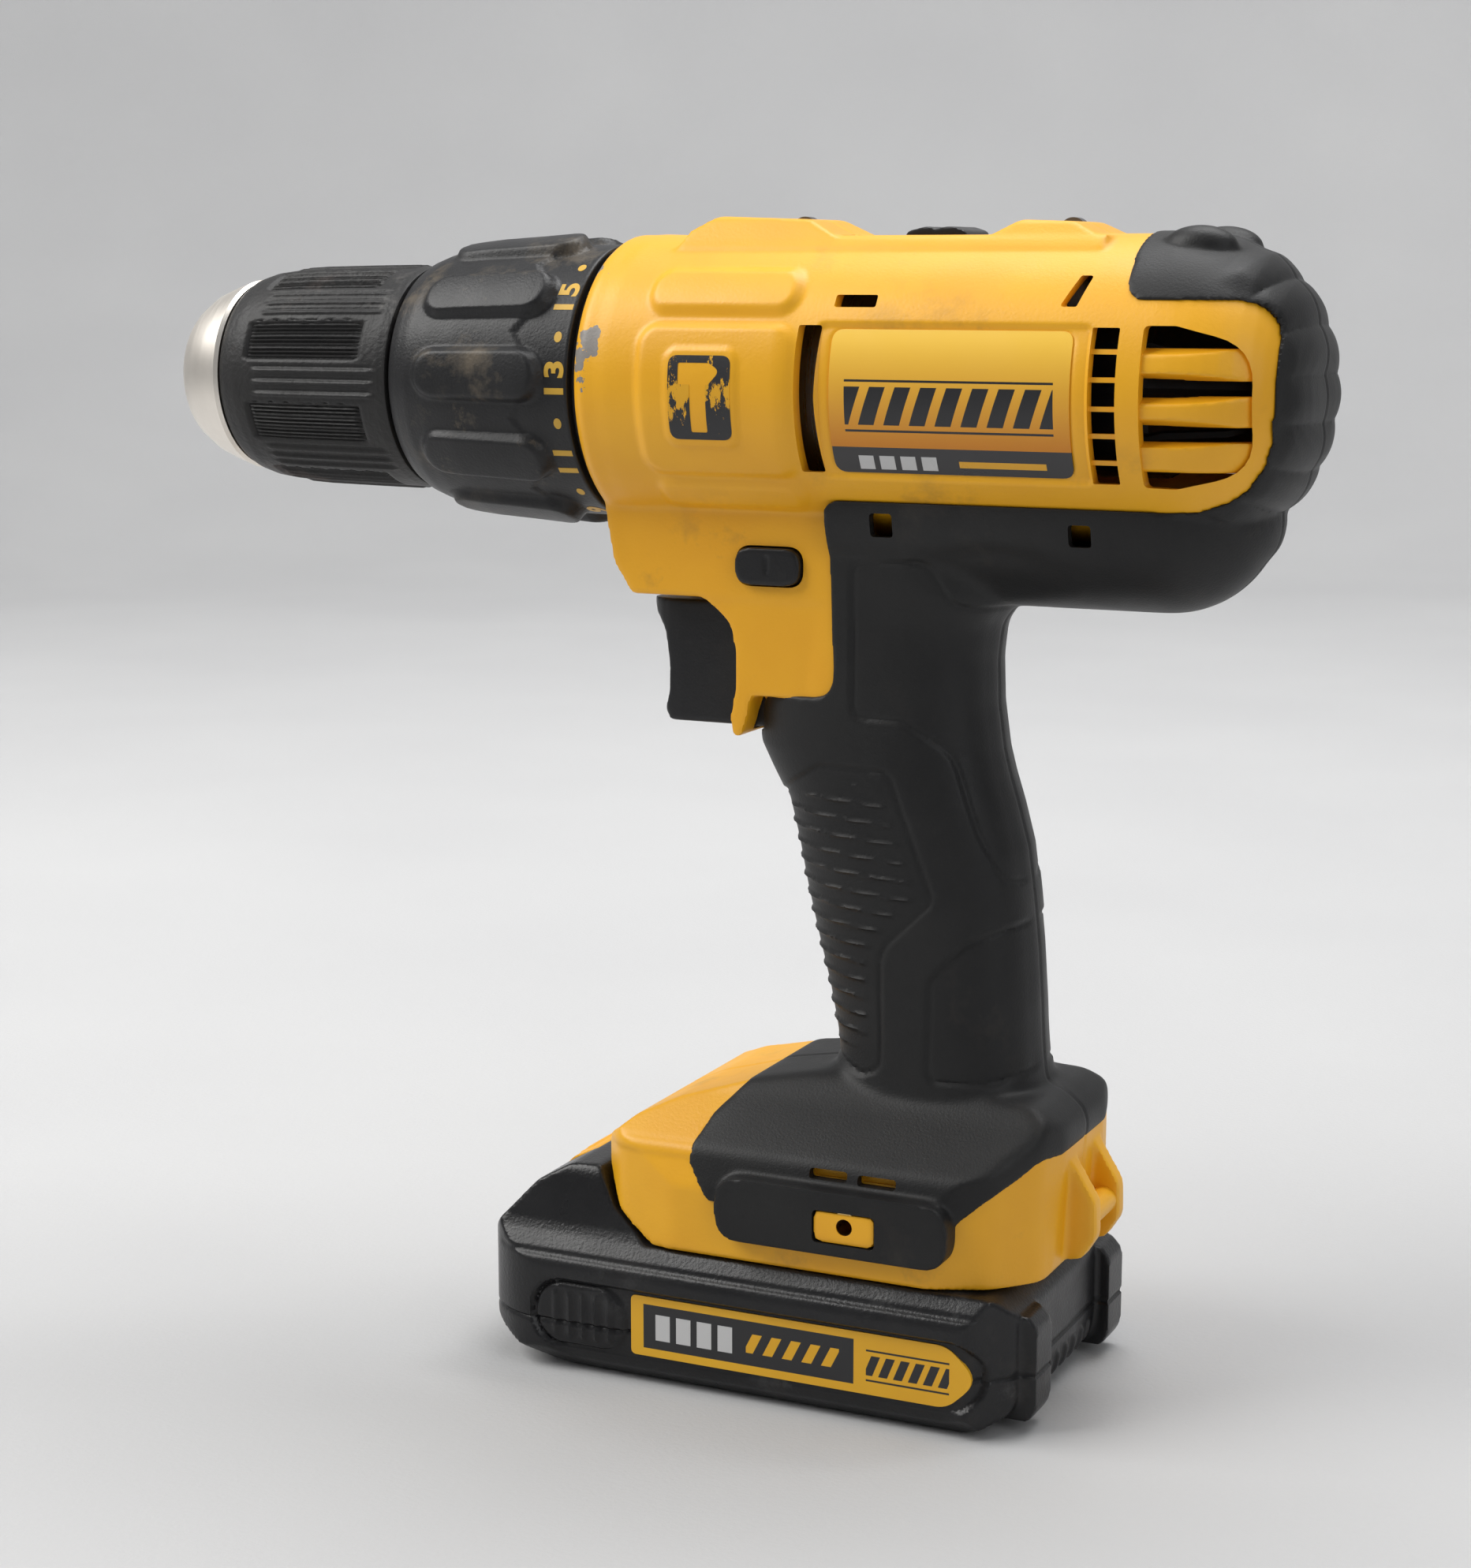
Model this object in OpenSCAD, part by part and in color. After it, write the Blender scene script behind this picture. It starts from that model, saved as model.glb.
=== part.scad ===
// Cordless combi drill with a slide-on battery pack.
// X runs along the spindle with the chuck towards -X, Y runs across and Z is up.
// The origin is the middle of the pack's flat base, under the handle.

/* [Housing] */
// Height of the spindle's axis above the pack's base
axis_h = 199.5; // [165:0.5:245]
// Length of the motor barrel, from its front face to the start of the domed end
barrel_len = 117; // [95:1:145]
// Wall of the housing
wall = 2.6; // [2:0.1:3.2]
// Radial room between the barrel's wall and the gearcase, filled by ribs
rib_h = 1.9; // [1.7:0.1:3]
// Thickness of the soft skin over the plastic
skin = 1.6; // [1.2:0.1:2.2]
// Width of the handle
grip_w = 34; // [28:0.5:41]
// Width of the foot above the pack
foot_w = 72; // [66:0.5:88]
// Height of the foot, from its underside to the root of the handle
foot_h = 33.7; // [29:0.1:42]

/* [Chuck] */
// Largest radius of the clamping sleeve
sleeve_r = 23; // [22.6:0.1:26]
// Length of the clamping sleeve
sleeve_len = 44.4; // [43:0.1:54]
// Radius of the largest shank that the jaws take
shank_r = 6.5; // [5.2:0.1:7]
// Radius of each jaw
jaw_r = 3.3; // [2.8:0.1:3.4]
// Length of each jaw along its own axis
jaw_len = 41; // [33:0.5:42]
// Slope of the jaws' bores to the spindle's axis, in degrees
jaw_angle = 13; // [11:0.5:13.5]
// Radius of the spindle behind the chuck
spindle_r = 8.5; // [7:0.1:8.8]

/* [Clutch and gearbox] */
// Length of the torque collar
collar_len = 42.5; // [38:0.5:51]
// Tooth size: pitch diameter in millimetres over the number of teeth
gear_m = 1; // [0.8:0.05:1.2]
// Teeth on each sun gear, a multiple of three
sun_teeth = 12; // [12:3:15]
// Teeth on each planet gear
planet_teeth = 12; // [12:1:13]
// Width of the gear faces
gear_w = 8; // [6:0.5:9.6]
// Radius of the pins that carry the planets
pin_r = 2; // [1.5:0.1:2.4]

/* [Motor] */
// Radius of the motor's can
motor_r = 21.5; // [18:0.1:25.8]
// Length of the motor's can
can_len = 54; // [45:0.5:58]
// Radius of the armature's shaft
shaft_r = 2.5; // [2:0.1:3]

/* [Switch] */
// Width of the trigger
trigger_w = 21; // [17:0.5:24]
// How far the trigger is pulled
trigger_travel = 6.5; // [5:0.5:7.5]

/* [Battery pack] */
// Overall width of the pack
pack_w = 74; // [71:0.5:90]
// Height of the pack's body, without its nose and rails
pack_h = 28; // [26.5:0.5:34]
// Radius of a cell
cell_r = 9.1; // [7.5:0.1:9.6]
// Length of a cell
cell_len = 65; // [54:0.5:67]
// Wall of the pack
pack_wall = 2.2; // [1.8:0.1:2.4]

/* [Clearances] */
// Radial clearance of running fits
run_gap = 0.05; // [0.02:0.01:0.1]
// Clearance of sliding parts
slide_gap = 0.3; // [0.3:0.05:0.4]
// Backlash on each flank of the gears
backlash = 0.15; // [0.1:0.01:0.2]

/* [Hidden] */
$fn = 72;
yellow = [0.95, 0.68, 0.1];
black = [0.09, 0.09, 0.095];
rubber = [0.15, 0.15, 0.15];
steel = [0.7, 0.7, 0.72];
brass = [0.8, 0.65, 0.3];
copper = [0.75, 0.42, 0.25];

// Gears
pressure_angle = 25;
ring_teeth = sun_teeth + 2 * planet_teeth;
addendum = 0.8 * gear_m;
dedendum = 1.1 * gear_m;
carry_r = gear_m * (sun_teeth + planet_teeth) / 2;
ring_r = gear_m * ring_teeth / 2 + dedendum + 2.9;
gearcase_r = ring_r + 2.5;
carrier_r = carry_r + pin_r + 1.5;

// Barrel
barrel_r = gearcase_r + rib_h + wall;
front_x = -44;
dome_x = front_x + barrel_len - 3;
dome_round = 24;
rear_x = dome_x + 3 + dome_round;
bulge_r = barrel_r - 9;
bulge_z = axis_h - 0.735 * barrel_r;
skin_x = dome_x - 1;
panel_x = [9, 59];
panel_up = 12;
panel_down = -16.5;
plate_t = 0.9;
bump_top = barrel_r + 3.6;
front_bump_x = [-26, 5];
rear_bump_x = [36, 56];
bump_w = 26;

// Handle and foot
foot_z = pack_h + slide_gap;
root_z = foot_z + foot_h;
grip_z = axis_h - barrel_r - 12.5;
beak_drop = 27;
knee_z = grip_z - 46;
nose_w = 33;
foot_rear_x = 52;
rail_neck_w = 34;
rail_head_w = 40;
rail_x = [-40, 35];
rail_neck_z = foot_z + 3;
rail_head_z = foot_z + 8;
foot_floor_z = rail_head_z + 3.2;
blade_y = [-13.5, -4.5, 4.5, 13.5];
blade_t = 1;
blade_z = [rail_neck_z + 0.5, rail_head_z - 0.5];
hook_x = 18.5;
hook_z = foot_z + 11.2;
hook_r = 1.65;
insert_r = 3;
insert_len = 8;

// Chuck, from the tip backwards
collar_x = front_x - 2.5 - collar_len;
sleeve_end_x = collar_x - 0.6;
sleeve_x = sleeve_end_x - sleeve_len;
nose_x = sleeve_x - 11.5;
chuck_r = 17;
groove_r = 14.5;
hollow_r = sleeve_r - 2.2;
nut_x = [sleeve_x + 10, sleeve_x + 20];
flange_x = nut_x[1] + 2;
jaw_tip_x = nose_x + 7.5;
jaw_tip_r = shank_r + 0.8;
jaw_reach = 4.7;
thread_r = 6.3;
screw_r = 2.9;
body_end_x = sleeve_end_x - 0.9;
screw_seat_x = flange_x + 3;

// Clutch, from the collar backwards
neck_r = 15;
neck_x = collar_x + 2.5;
case_x = front_x - 12;
cavity_x = case_x + 4.5;
collar_in_r = barrel_r - 7.5;
shoulder_r = barrel_r - 4;
nut_len = 6;
clutch_nut_x = neck_x + 4;
plate_x = case_x - 2.2;
ball_r = 2;
ball_ring_r = neck_r + 3.3;

// Gear train, from the spindle's flange backwards
spindle_flange_x = cavity_x + 3;
front_gear_x = spindle_flange_x + 4.6;
sun_plate_x = front_gear_x + gear_w + 0.6;
rear_gear_x = sun_plate_x + 3.5 + 0.6;
case_end_x = rear_gear_x + gear_w + 4.6;
can_x = case_end_x + 0.2;
cap_x = can_x + can_len;
cap_len = 14;
bearing_r = 7;
shaft_end_x = cap_x + cap_len + 4;

// Switch
nose_light_z = grip_z + 8.5;
button_x = [-13.4, 0.4];
button_z = [grip_z + 4, grip_z + 10.4];
button_travel = 3;
trigger_back_x = -5;
switch_x = [trigger_back_x + trigger_travel + 1.5, trigger_back_x + trigger_travel + 27.5];
switch_z = [grip_z - 30, grip_z - 4];
plunger_r = 3;
plunger_z = grip_z - 14;

// Speed slider
slider_x = [17, 30];
slider_travel = 9;
slider_w = 8;
channel_top = barrel_r - 1;
strap_t = 1;
strap_w = 5;
fork_x = rear_gear_x + gear_w;
strap_z = max(gearcase_r + 0.5, motor_r + slide_gap);

// Pack
pack_x = [-66, 52];
cell_pitch = 2 * cell_r + 0.6;
cell_z = pack_wall + 0.8 + cell_r;
split_z = 10.7;
button_slot_x = [-54, -46.6];
button_slot_w = 30;
release_travel = 4;
lug_y = 22.5;
lug_w = 9;

// Each screw's place in X and Z, and how far its boss reaches to either side
screw_spots = [
    [-10, axis_h + barrel_r + 0.9, 16], [46, axis_h + barrel_r + 0.4, 16],
    [64, bulge_z - 14, 16], [-33, grip_z + 12.5, 16],
    [30, grip_z - 0.5 * (grip_z - root_z) + 5, 16],
    [-24, foot_z + 15, foot_w / 2], [44, foot_z + 17, foot_w / 2],
];
boss_r = 3.4;
pilot_r = 1.5;
head_r = 2.8;

// ---- Helpers ------------------------------------------------------------

// A solid turned about the spindle's axis from points of [radius, x]
module turned(points) {
    translate([0, 0, axis_h]) rotate([0, 90, 0]) rotate_extrude($fn = 96) polygon(points);
}

module disc(r, x0, x1) {
    translate([x0, 0, axis_h]) rotate([0, 90, 0]) cylinder(r = r, h = x1 - x0, $fn = 96);
}

module ring(r_out, r_in, x0, x1) {
    difference() {
        disc(r_out, x0, x1);
        disc(r_in, x0 - 1, x1 + 1);
    }
}

// A plate cut to an outline in X and Z
module side_plate(points, y0, y1) {
    translate([0, y1, 0]) rotate([90, 0, 0]) linear_extrude(y1 - y0) polygon(points);
}

// A bar cut to an outline in Y and Z
module long_bar(points, x0, x1) {
    translate([x0, 0, 0]) rotate([90, 0, 90]) linear_extrude(x1 - x0) polygon(points);
}

module block(x, y, z) {
    translate([x[0], y[0], z[0]]) cube([x[1] - x[0], y[1] - y[0], z[1] - z[0]]);
}

module cross_rod(r, x, z, y0, y1) {
    translate([x, y1, z]) rotate([90, 0, 0]) cylinder(r = r, h = y1 - y0, $fn = 36);
}

module upright(r, x, y, z0, z1) {
    translate([x, y, z0]) cylinder(r = r, h = z1 - z0, $fn = 36);
}

// A stadium-ended plate along X, cut in X and Z and running across Y
module pill_plate(x, z, y) {
    r = (z[1] - z[0]) / 2;
    for (end_x = [x[0] + r, x[1] - r]) cross_rod(r, end_x, z[0] + r, y[0], y[1]);
    block([x[0] + r, x[1] - r], y, z);
}

// The outline moved inwards by d, for points that run anticlockwise
function side_normal(a, b) = [a.y - b.y, b.x - a.x] / norm(b - a);
function corner_shift(n1, n2) = (n1 + n2) / (1 + n1 * n2);
function inset(p, d) = let (n = len(p)) [
    for (i = [0 : n - 1])
        p[i] + d * corner_shift(
            side_normal(p[(i + n - 1) % n], p[i]), side_normal(p[i], p[(i + 1) % n]))
];

// ---- Outer form, moved inwards by d -------------------------------------

function grip_outline() = let (low = knee_z - root_z) [
    [5.5, root_z - 12], [45.5, root_z - 12], [45.5, root_z], [45, root_z + 0.36 * low],
    [44.3, root_z + 0.6 * low], [43.2, root_z + 0.85 * low], [41.6, knee_z],
    [39.2, knee_z + 7], [36.6, knee_z + 17], [35, knee_z + 26], [34.5, knee_z + 34],
    [35.5, grip_z], [36, grip_z + 14], [-13, grip_z + 14], [-13, grip_z - 32],
    [-9.5, grip_z - 35], [-6.5, grip_z - 39.5], [-4.6, knee_z],
    [-1.5, root_z + 0.8 * low], [2, root_z + 0.5 * low], [5, root_z + 0.22 * low],
];

module grip_form(d) {
    lean = atan((45.5 - 36) / (grip_z - root_z));
    r = grip_w / 2;
    intersection() {
        side_plate(inset(grip_outline(), d), -grip_w, grip_w);
        translate([26, 0, root_z - 13]) rotate([0, -lean, 0]) linear_extrude(axis_h) {
            translate([-4, 0]) circle(r - d);
            translate([5, 0]) circle(r - d);
            translate([-40, -r + d]) square([45, 2 * (r - d)]);
        }
    }
}

// The lip under the trigger that keeps the finger in place
module beak() {
    side_plate([
        [-11, grip_z - 35], [-11, grip_z - beak_drop], [-13.8, grip_z - beak_drop],
        [-14, grip_z - beak_drop - 2], [-12.8, grip_z - 31],
    ], -9, 9);
}

function nose_outline() = [
    [-36.5, grip_z], [10, grip_z], [10, axis_h], [-43, axis_h],
    [-42.5, grip_z + 15], [-40.5, grip_z + 6], [-38.5, grip_z + 1.5],
];

module nose_form(d) {
    side_plate(inset(nose_outline(), d), -nose_w / 2 + d, nose_w / 2 - d);
}

module dome_profile(d) {
    polygon([
        [0, front_x + d], [barrel_r - d, front_x + d],
        for (a = [0 : 6 : 90])
            [barrel_r - dome_round + (dome_round - d) * cos(a),
             dome_x + 3 + (dome_round - d) * sin(a)],
        [0, rear_x - d],
    ]);
}

module barrel_form(d) {
    translate([0, 0, axis_h]) rotate([0, 90, 0]) rotate_extrude($fn = 96) dome_profile(d);
    translate([-10, 0, bulge_z]) rotate([0, 90, 0]) cylinder(r = bulge_r - d, h = dome_x + 5, $fn = 72);
    translate([dome_x - 5, 0, bulge_z]) sphere(r = bulge_r - d, $fn = 72);
}

module bump_form(d) {
    for (span = [front_bump_x, rear_bump_x])
        long_bar(
            inset([
                [-bump_w / 2, axis_h + 20], [bump_w / 2, axis_h + 20],
                [bump_w / 2, axis_h + barrel_r - 3], [bump_w / 2 - 5, axis_h + bump_top],
                [5 - bump_w / 2, axis_h + bump_top], [-bump_w / 2, axis_h + barrel_r - 3],
            ], d),
            span[0] + d, span[1] - d);
}

function foot_side() = [
    [-24.5, foot_z], [foot_rear_x, foot_z], [foot_rear_x + 1, foot_z + 12],
    [foot_rear_x + 3, foot_z + 22], [foot_rear_x + 3, foot_z + 29],
    [foot_rear_x - 1, foot_z + 34], [foot_rear_x - 6, root_z + 1.5], [5, root_z + 1],
    [-8, foot_z + 33], [-24, foot_z + 29], [-31.5, foot_z + 25], [-38.8, foot_z + 18],
    [-38.5, foot_z + 13.5], [-33.6, foot_z + 6],
];

function foot_front() = let (w = foot_w / 2) [
    [-w, foot_z], [w, foot_z], [w, foot_z + 16], [w - 3, foot_z + 21.5],
    [w - 14, foot_z + 30], [w - 18, root_z + 2], [18 - w, root_z + 2],
    [14 - w, foot_z + 30], [3 - w, foot_z + 21.5], [-w, foot_z + 16],
];

function foot_plan() = let (w = foot_w / 2) [
    [-39, 8 - w], [-33, 3 - w], [-22, -w], [36, -w], [46, 4 - w], [53, 12 - w],
    [foot_rear_x + 3, 20 - w], [foot_rear_x + 3, w - 20], [53, w - 12], [46, w - 4],
    [36, w], [-22, w], [-33, w - 3], [-39, w - 8],
];

module foot_form(d) {
    intersection() {
        side_plate(inset(foot_side(), d), -foot_w, foot_w);
        long_bar(inset(foot_front(), d), -60, 80);
        translate([0, 0, foot_z - 10]) linear_extrude(foot_h + 20) polygon(inset(foot_plan(), d));
    }
}

module outer_form(d) {
    barrel_form(d);
    bump_form(d);
    nose_form(d);
    grip_form(d);
    foot_form(d);
}

// Where the soft skin lies: the rear cap, the handle and the saddle over the foot
module skin_zone() {
    block([skin_x, rear_x + 1], [-50, 50], [grip_z - 5, axis_h + barrel_r + 2]);
    block([8, rear_x + 1], [-50, 50], [knee_z, axis_h - 0.72 * barrel_r]);
    block([-30, 60], [-50, 50], [root_z + 2, grip_z - 32]);
    block([-8, 70], [-50, 50], [foot_z + 17, root_z + 3]);
}

module skin_form() {
    intersection() {
        skin_zone();
        difference() {
            union() {
                barrel_form(0);
                grip_form(0);
                foot_form(0);
            }
            union() {
                barrel_form(skin);
                grip_form(skin);
                foot_form(skin);
            }
        }
    }
}

module soft_form() {
    skin_form();
    beak();
}

module cavity_form() {
    intersection() {
        union() {
            barrel_form(wall + skin);
            barrel_front_bore();
            grip_form(wall + skin - 0.4);
            nose_form(wall);
        }
        block([-60, rear_x], [-60, 60], [root_z - 4, 300]);
    }
    difference() {
        foot_form(wall + skin);
        block([-60, 80], [-60, 60], [0, foot_floor_z]);
    }
}

module barrel_front_bore() {
    disc(gearcase_r + rib_h, front_x + 3, skin_x - 2);
}

module half_space(side) {
    translate([-200, side > 0 ? 0 : -100, -50]) cube([400, 100, 400]);
}

module screw_bosses() {
    intersection() {
        for (spot = screw_spots) cross_rod(boss_r, spot.x, spot.y, -spot.z, spot.z);
        outer_form(0.5);
    }
}

module screw_holes() {
    for (spot = screw_spots) {
        cross_rod(pilot_r, spot.x, spot.y, -9, 8);
        cross_rod(head_r + 0.3, spot.x, spot.y, 8, 60);
    }
}

module ribs() {
    difference() {
        union() {
            for (x = [cavity_x + 12, case_end_x - 3])
                ring(gearcase_r + rib_h + 1, gearcase_r, x, x + 2);
            for (x = [can_x + 12, cap_x - 8])
                ring(gearcase_r + rib_h + 1, motor_r, x, x + 2);
        }
        block([-60, 60], [-4, 4], [axis_h + gearcase_r - 0.5, axis_h + 60]);
    }
}

module vents() {
    for (side = [-1, 1]) {
        for (i = [0 : 5])
            block([61.6, 66.4], side > 0 ? [15, 45] : [-45, -15],
                  [axis_h - 15.8 + 5 * i, axis_h - 12.2 + 5 * i]);
        for (i = [0 : 3])
            block([71, 80 + 4 * (i % 3 > 0 ? 1 : 0)], side > 0 ? [12, 45] : [-45, -12],
                  [axis_h - 14.8 + 7.6 * i, axis_h - 10.6 + 7.6 * i]);
    }
}

module label_recess(side) {
    intersection() {
        difference() {
            disc(barrel_r + 5, panel_x[0] - 0.2, panel_x[1] + 0.2);
            disc(barrel_r - plate_t, panel_x[0] - 1, panel_x[1] + 1);
        }
        block([0, 80], side > 0 ? [5, 50] : [-50, -5],
              [axis_h + panel_down - 0.2, axis_h + panel_up + 0.2]);
    }
}

module rail_channel() {
    block([-60, rail_x[1] + 0.6], [-rail_neck_w / 2 - slide_gap, rail_neck_w / 2 + slide_gap],
          [foot_z - 1, rail_neck_z + slide_gap]);
    block([-60, rail_x[1] + 0.6], [-rail_head_w / 2 - slide_gap, rail_head_w / 2 + slide_gap],
          [rail_neck_z - slide_gap, rail_head_z + slide_gap]);
    // room behind the rails for the terminal block
    block([rail_x[1] - 1, rail_x[1] + 12], [-18, 18], [foot_z + 1.5, foot_floor_z + 1.5]);
}

module housing(side) {
    color(yellow) intersection() {
        half_space(side);
        difference() {
            union() {
                difference() {
                    outer_form(0);
                    cavity_form();
                }
                ribs();
                screw_bosses();
                lanyard_eye();
            }
            soft_form();
            screw_holes();
            vents();
            label_recess(-1);
            label_recess(1);
            rail_channel();
            disc(gearcase_r, front_x - 1, case_end_x);
            disc(shoulder_r + 0.4, front_x - 1, front_x + 1);
            disc(motor_r, case_end_x - 5, cap_x + 8);
            // trigger, direction button, work light, slider and hook screws
            block([-30, switch_x[0] + 1], [-trigger_w / 2 - slide_gap, trigger_w / 2 + slide_gap],
                  [grip_z - beak_drop - 0.5, grip_z]);
            pill_plate([button_x[0] - slide_gap, button_x[1] + slide_gap],
                       [button_z[0] - slide_gap, button_z[1] + slide_gap], [-40, 40]);
            translate([-60, 0, nose_light_z]) rotate([0, 90, 0]) cylinder(r = 3.2, h = 24);
            block([-38, -30], [-5.2, 5.2], [nose_light_z - 4.2, nose_light_z + 4.2]);
            block([5, 35], [-7.5, 7.5], [axis_h + channel_top, axis_h + 60]);
            block([slider_x[0] - slider_travel - slide_gap, slider_x[1] + slide_gap],
                  [-slider_w / 2 - slide_gap, slider_w / 2 + slide_gap],
                  [axis_h + 20, axis_h + 60]);
            for (y = [-50, foot_w / 2 - insert_len])
                cross_rod(insert_r, hook_x, hook_z, y, y + 50 - foot_w / 2 + insert_len);
        }
    }
}

module lanyard_eye() {
    for (y = [-9.5, 5.5])
        side_plate([
            [foot_rear_x - 4, foot_z + 2], [foot_rear_x + 5, foot_z + 2],
            [foot_rear_x + 8.5, foot_z + 7], [foot_rear_x + 8.5, foot_z + 14],
            [foot_rear_x + 3, foot_z + 20], [foot_rear_x - 4, foot_z + 20],
        ], y, y + 4);
    cross_rod(2.6, foot_rear_x + 5, foot_z + 10, -6, 6);
}

module left_housing() { housing(-1); }

module right_housing() { housing(1); }

module overmould(side) {
    color(rubber) intersection() {
        half_space(side);
        difference() {
            soft_form();
            screw_holes();
            vents();
            lanyard_eye();
            for (y = [-50, foot_w / 2 - insert_len])
                cross_rod(insert_r, hook_x, hook_z, y, y + 50 - foot_w / 2 + insert_len);
        }
    }
}

module left_overmould() { overmould(-1); }

module right_overmould() { overmould(1); }

module label_plate(side) {
    color(yellow) intersection() {
        ring(barrel_r, barrel_r - plate_t, panel_x[0], panel_x[1]);
        block([0, 80], side > 0 ? [5, 50] : [-50, -5], [axis_h + panel_down, axis_h + panel_up]);
    }
}

module left_label_plate() { label_plate(-1); }

module right_label_plate() { label_plate(1); }

// Brass nuts moulded into both flanks of the foot, for the belt hook's screw
module hook_inserts() {
    color(brass) for (side = [-1, 1])
        difference() {
            cross_rod(insert_r, hook_x, hook_z, side > 0 ? foot_w / 2 - insert_len : -foot_w / 2,
                      side > 0 ? foot_w / 2 : insert_len - foot_w / 2);
            cross_rod(hook_r, hook_x, hook_z, -foot_w, foot_w);
        }
}

module housing_screws() {
    color(steel) for (spot = screw_spots) {
        cross_rod(pilot_r, spot.x, spot.y, -8.5, 8.5);
        difference() {
            cross_rod(head_r, spot.x, spot.y, 8, 10.5);
            translate([spot.x, 12, spot.y]) rotate([90, 0, 0]) cylinder(r = 1.2, h = 2.5, $fn = 6);
        }
    }
}

// ---- Work light ---------------------------------------------------------

module work_light_lens() {
    color("white") translate([-41, 0, nose_light_z]) rotate([0, 90, 0]) cylinder(r = 3.2, h = 3);
}

// ---- Gearbox and clutch -------------------------------------------------

module gearcase() {
    color([0.25, 0.25, 0.27]) difference() {
        turned([
            [0, neck_x], [neck_r - 0.6, neck_x], [neck_r, neck_x + 0.6], [neck_r, case_x],
            [shoulder_r - run_gap, case_x], [shoulder_r - run_gap, front_x - 0.6],
            [gearcase_r, front_x - 0.6], [gearcase_r, case_end_x], [0, case_end_x],
        ]);
        disc(13, neck_x - 1, case_x - 7);
        disc(11, case_x - 8, case_x + 2);
        disc(spindle_r + 0.4, case_x, cavity_x + 1);
        disc(ring_r, cavity_x, case_end_x + 1);
        for (a = [0 : 60 : 300])
            translate([case_x - 1, 0, axis_h]) rotate([a, 0, 0]) translate([0, 0, ball_ring_r])
                rotate([0, 90, 0]) cylinder(r = ball_r + 0.1, h = 7, $fn = 24);
    }
}

module spindle_bearing() {
    color(steel) difference() {
        ring(13, spindle_r + run_gap, neck_x + 2.5, neck_x + 10.5);
        for (x = [neck_x + 2.4, neck_x + 10])
            ring(11.6, 10, x, x + 0.6);
    }
}

module spindle_bush() {
    color([0.6, 0.5, 0.35]) ring(11, spindle_r + run_gap, case_x - 7, case_x + 1.9);
}

// Face teeth of the hammer action, pointing to +X or to -X
module face_ratchet(r_out, r_in, x0, teeth_x, tooth_len) {
    ring(r_out, r_in, x0, x0 + 3);
    intersection() {
        ring(r_out, r_in, teeth_x, teeth_x + tooth_len);
        for (a = [0 : 30 : 330])
            translate([teeth_x, 0, axis_h]) rotate([a, 0, 0]) translate([0, -1.2, 0])
                cube([tooth_len, 2.4, r_out + 1]);
    }
}

module hammer_ratchet_fixed() {
    color(steel) face_ratchet(13, spindle_r + 0.5, neck_x + 12, neck_x + 15, 0.8);
}

module hammer_ratchet_turning() {
    color(steel) face_ratchet(12.6, spindle_r, neck_x + 17.6, neck_x + 16.8, 0.8);
}

module clutch_plate() {
    color(steel) ring(collar_in_r - 0.7, neck_r + run_gap, plate_x, case_x - 0.2);
}

module clutch_balls() {
    color("silver") for (a = [0 : 60 : 300])
        translate([case_x + 1.9, 0, axis_h]) rotate([a, 0, 0])
            translate([0, 0, ball_ring_r]) sphere(r = ball_r, $fn = 24);
}

module clutch_spring() {
    span = plate_x - clutch_nut_x - nut_len;
    coils = 5;
    color(steel) for (i = [0 : coils - 1])
        translate([clutch_nut_x + nut_len + 1 + i * (span - 2) / (coils - 1), 0, axis_h])
            rotate([0, 90, 0]) rotate_extrude($fn = 48)
                translate([neck_r + 2.9, 0]) circle(r = 1, $fn = 16);
}

module torque_collar() {
    r = barrel_r - 0.4;
    back_x = collar_x + collar_len;
    color(black) turned([
        [neck_r + 2.2, collar_x], [r - 4.3, collar_x], [r - 2.4, collar_x + 4],
        [r - 1.1, collar_x + 7.5], [r - 0.2, collar_x + 15], [r, collar_x + 26],
        [r, back_x - 8.5], [r - 0.8, back_x - 7.5], [r - 0.8, back_x - 0.4],
        [r - 1.2, back_x], [shoulder_r, back_x], [shoulder_r, case_x - 0.4],
        [collar_in_r, case_x - 0.4], [collar_in_r, collar_x + 2.2], [neck_r + 2.2, collar_x + 2.2],
    ]);
}

module clutch_nut() {
    color([0.35, 0.35, 0.38])
        ring(collar_in_r - 0.1, neck_r + run_gap, clutch_nut_x, clutch_nut_x + nut_len);
}

// ---- Gears --------------------------------------------------------------

function inv(a) = tan(a) * 180 / PI - a;
function half_tooth(r, z, play) = let (
    rp = gear_m * z / 2, rb = rp * cos(pressure_angle)
) 90 / z - play / rp * 90 / PI + inv(pressure_angle) - inv(r <= rb ? 0 : acos(rb / r));
function polar(r, a) = [r * cos(a), r * sin(a)];
function gear_outline(z, tip, root, play, phase) = let (
    rp = gear_m * z / 2,
    radii = [rp - root, max(rp - root, rp * cos(pressure_angle)) + 0.05, rp, rp + tip]
) [
    for (i = [0 : z - 1])
        each [
            for (r = radii) polar(r, phase + 360 * i / z - half_tooth(r, z, play)),
            for (k = [3 : -1 : 0]) polar(radii[k], phase + 360 * i / z + half_tooth(radii[k], z, play)),
        ]
];

// An outline in the plane across the spindle: its X is Y, its Y is Z
module along_spindle(x0, x1) {
    translate([x0, 0, axis_h]) rotate([90, 0, 90]) linear_extrude(x1 - x0) children();
}

module ring_gear(x0) {
    difference() {
        disc(ring_r, x0, x0 + gear_w + 0.8);
        along_spindle(x0 - 1, x0 + gear_w + 2)
            polygon(gear_outline(ring_teeth, dedendum, addendum, -backlash, 180 / ring_teeth));
    }
}

module ring_gears() {
    color([0.4, 0.4, 0.42]) for (x = [front_gear_x, rear_gear_x]) ring_gear(x - 0.4);
}

module external_gear(z, x0, x1, phase) {
    along_spindle(x0, x1) polygon(gear_outline(z, addendum, dedendum, backlash, phase));
}

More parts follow.
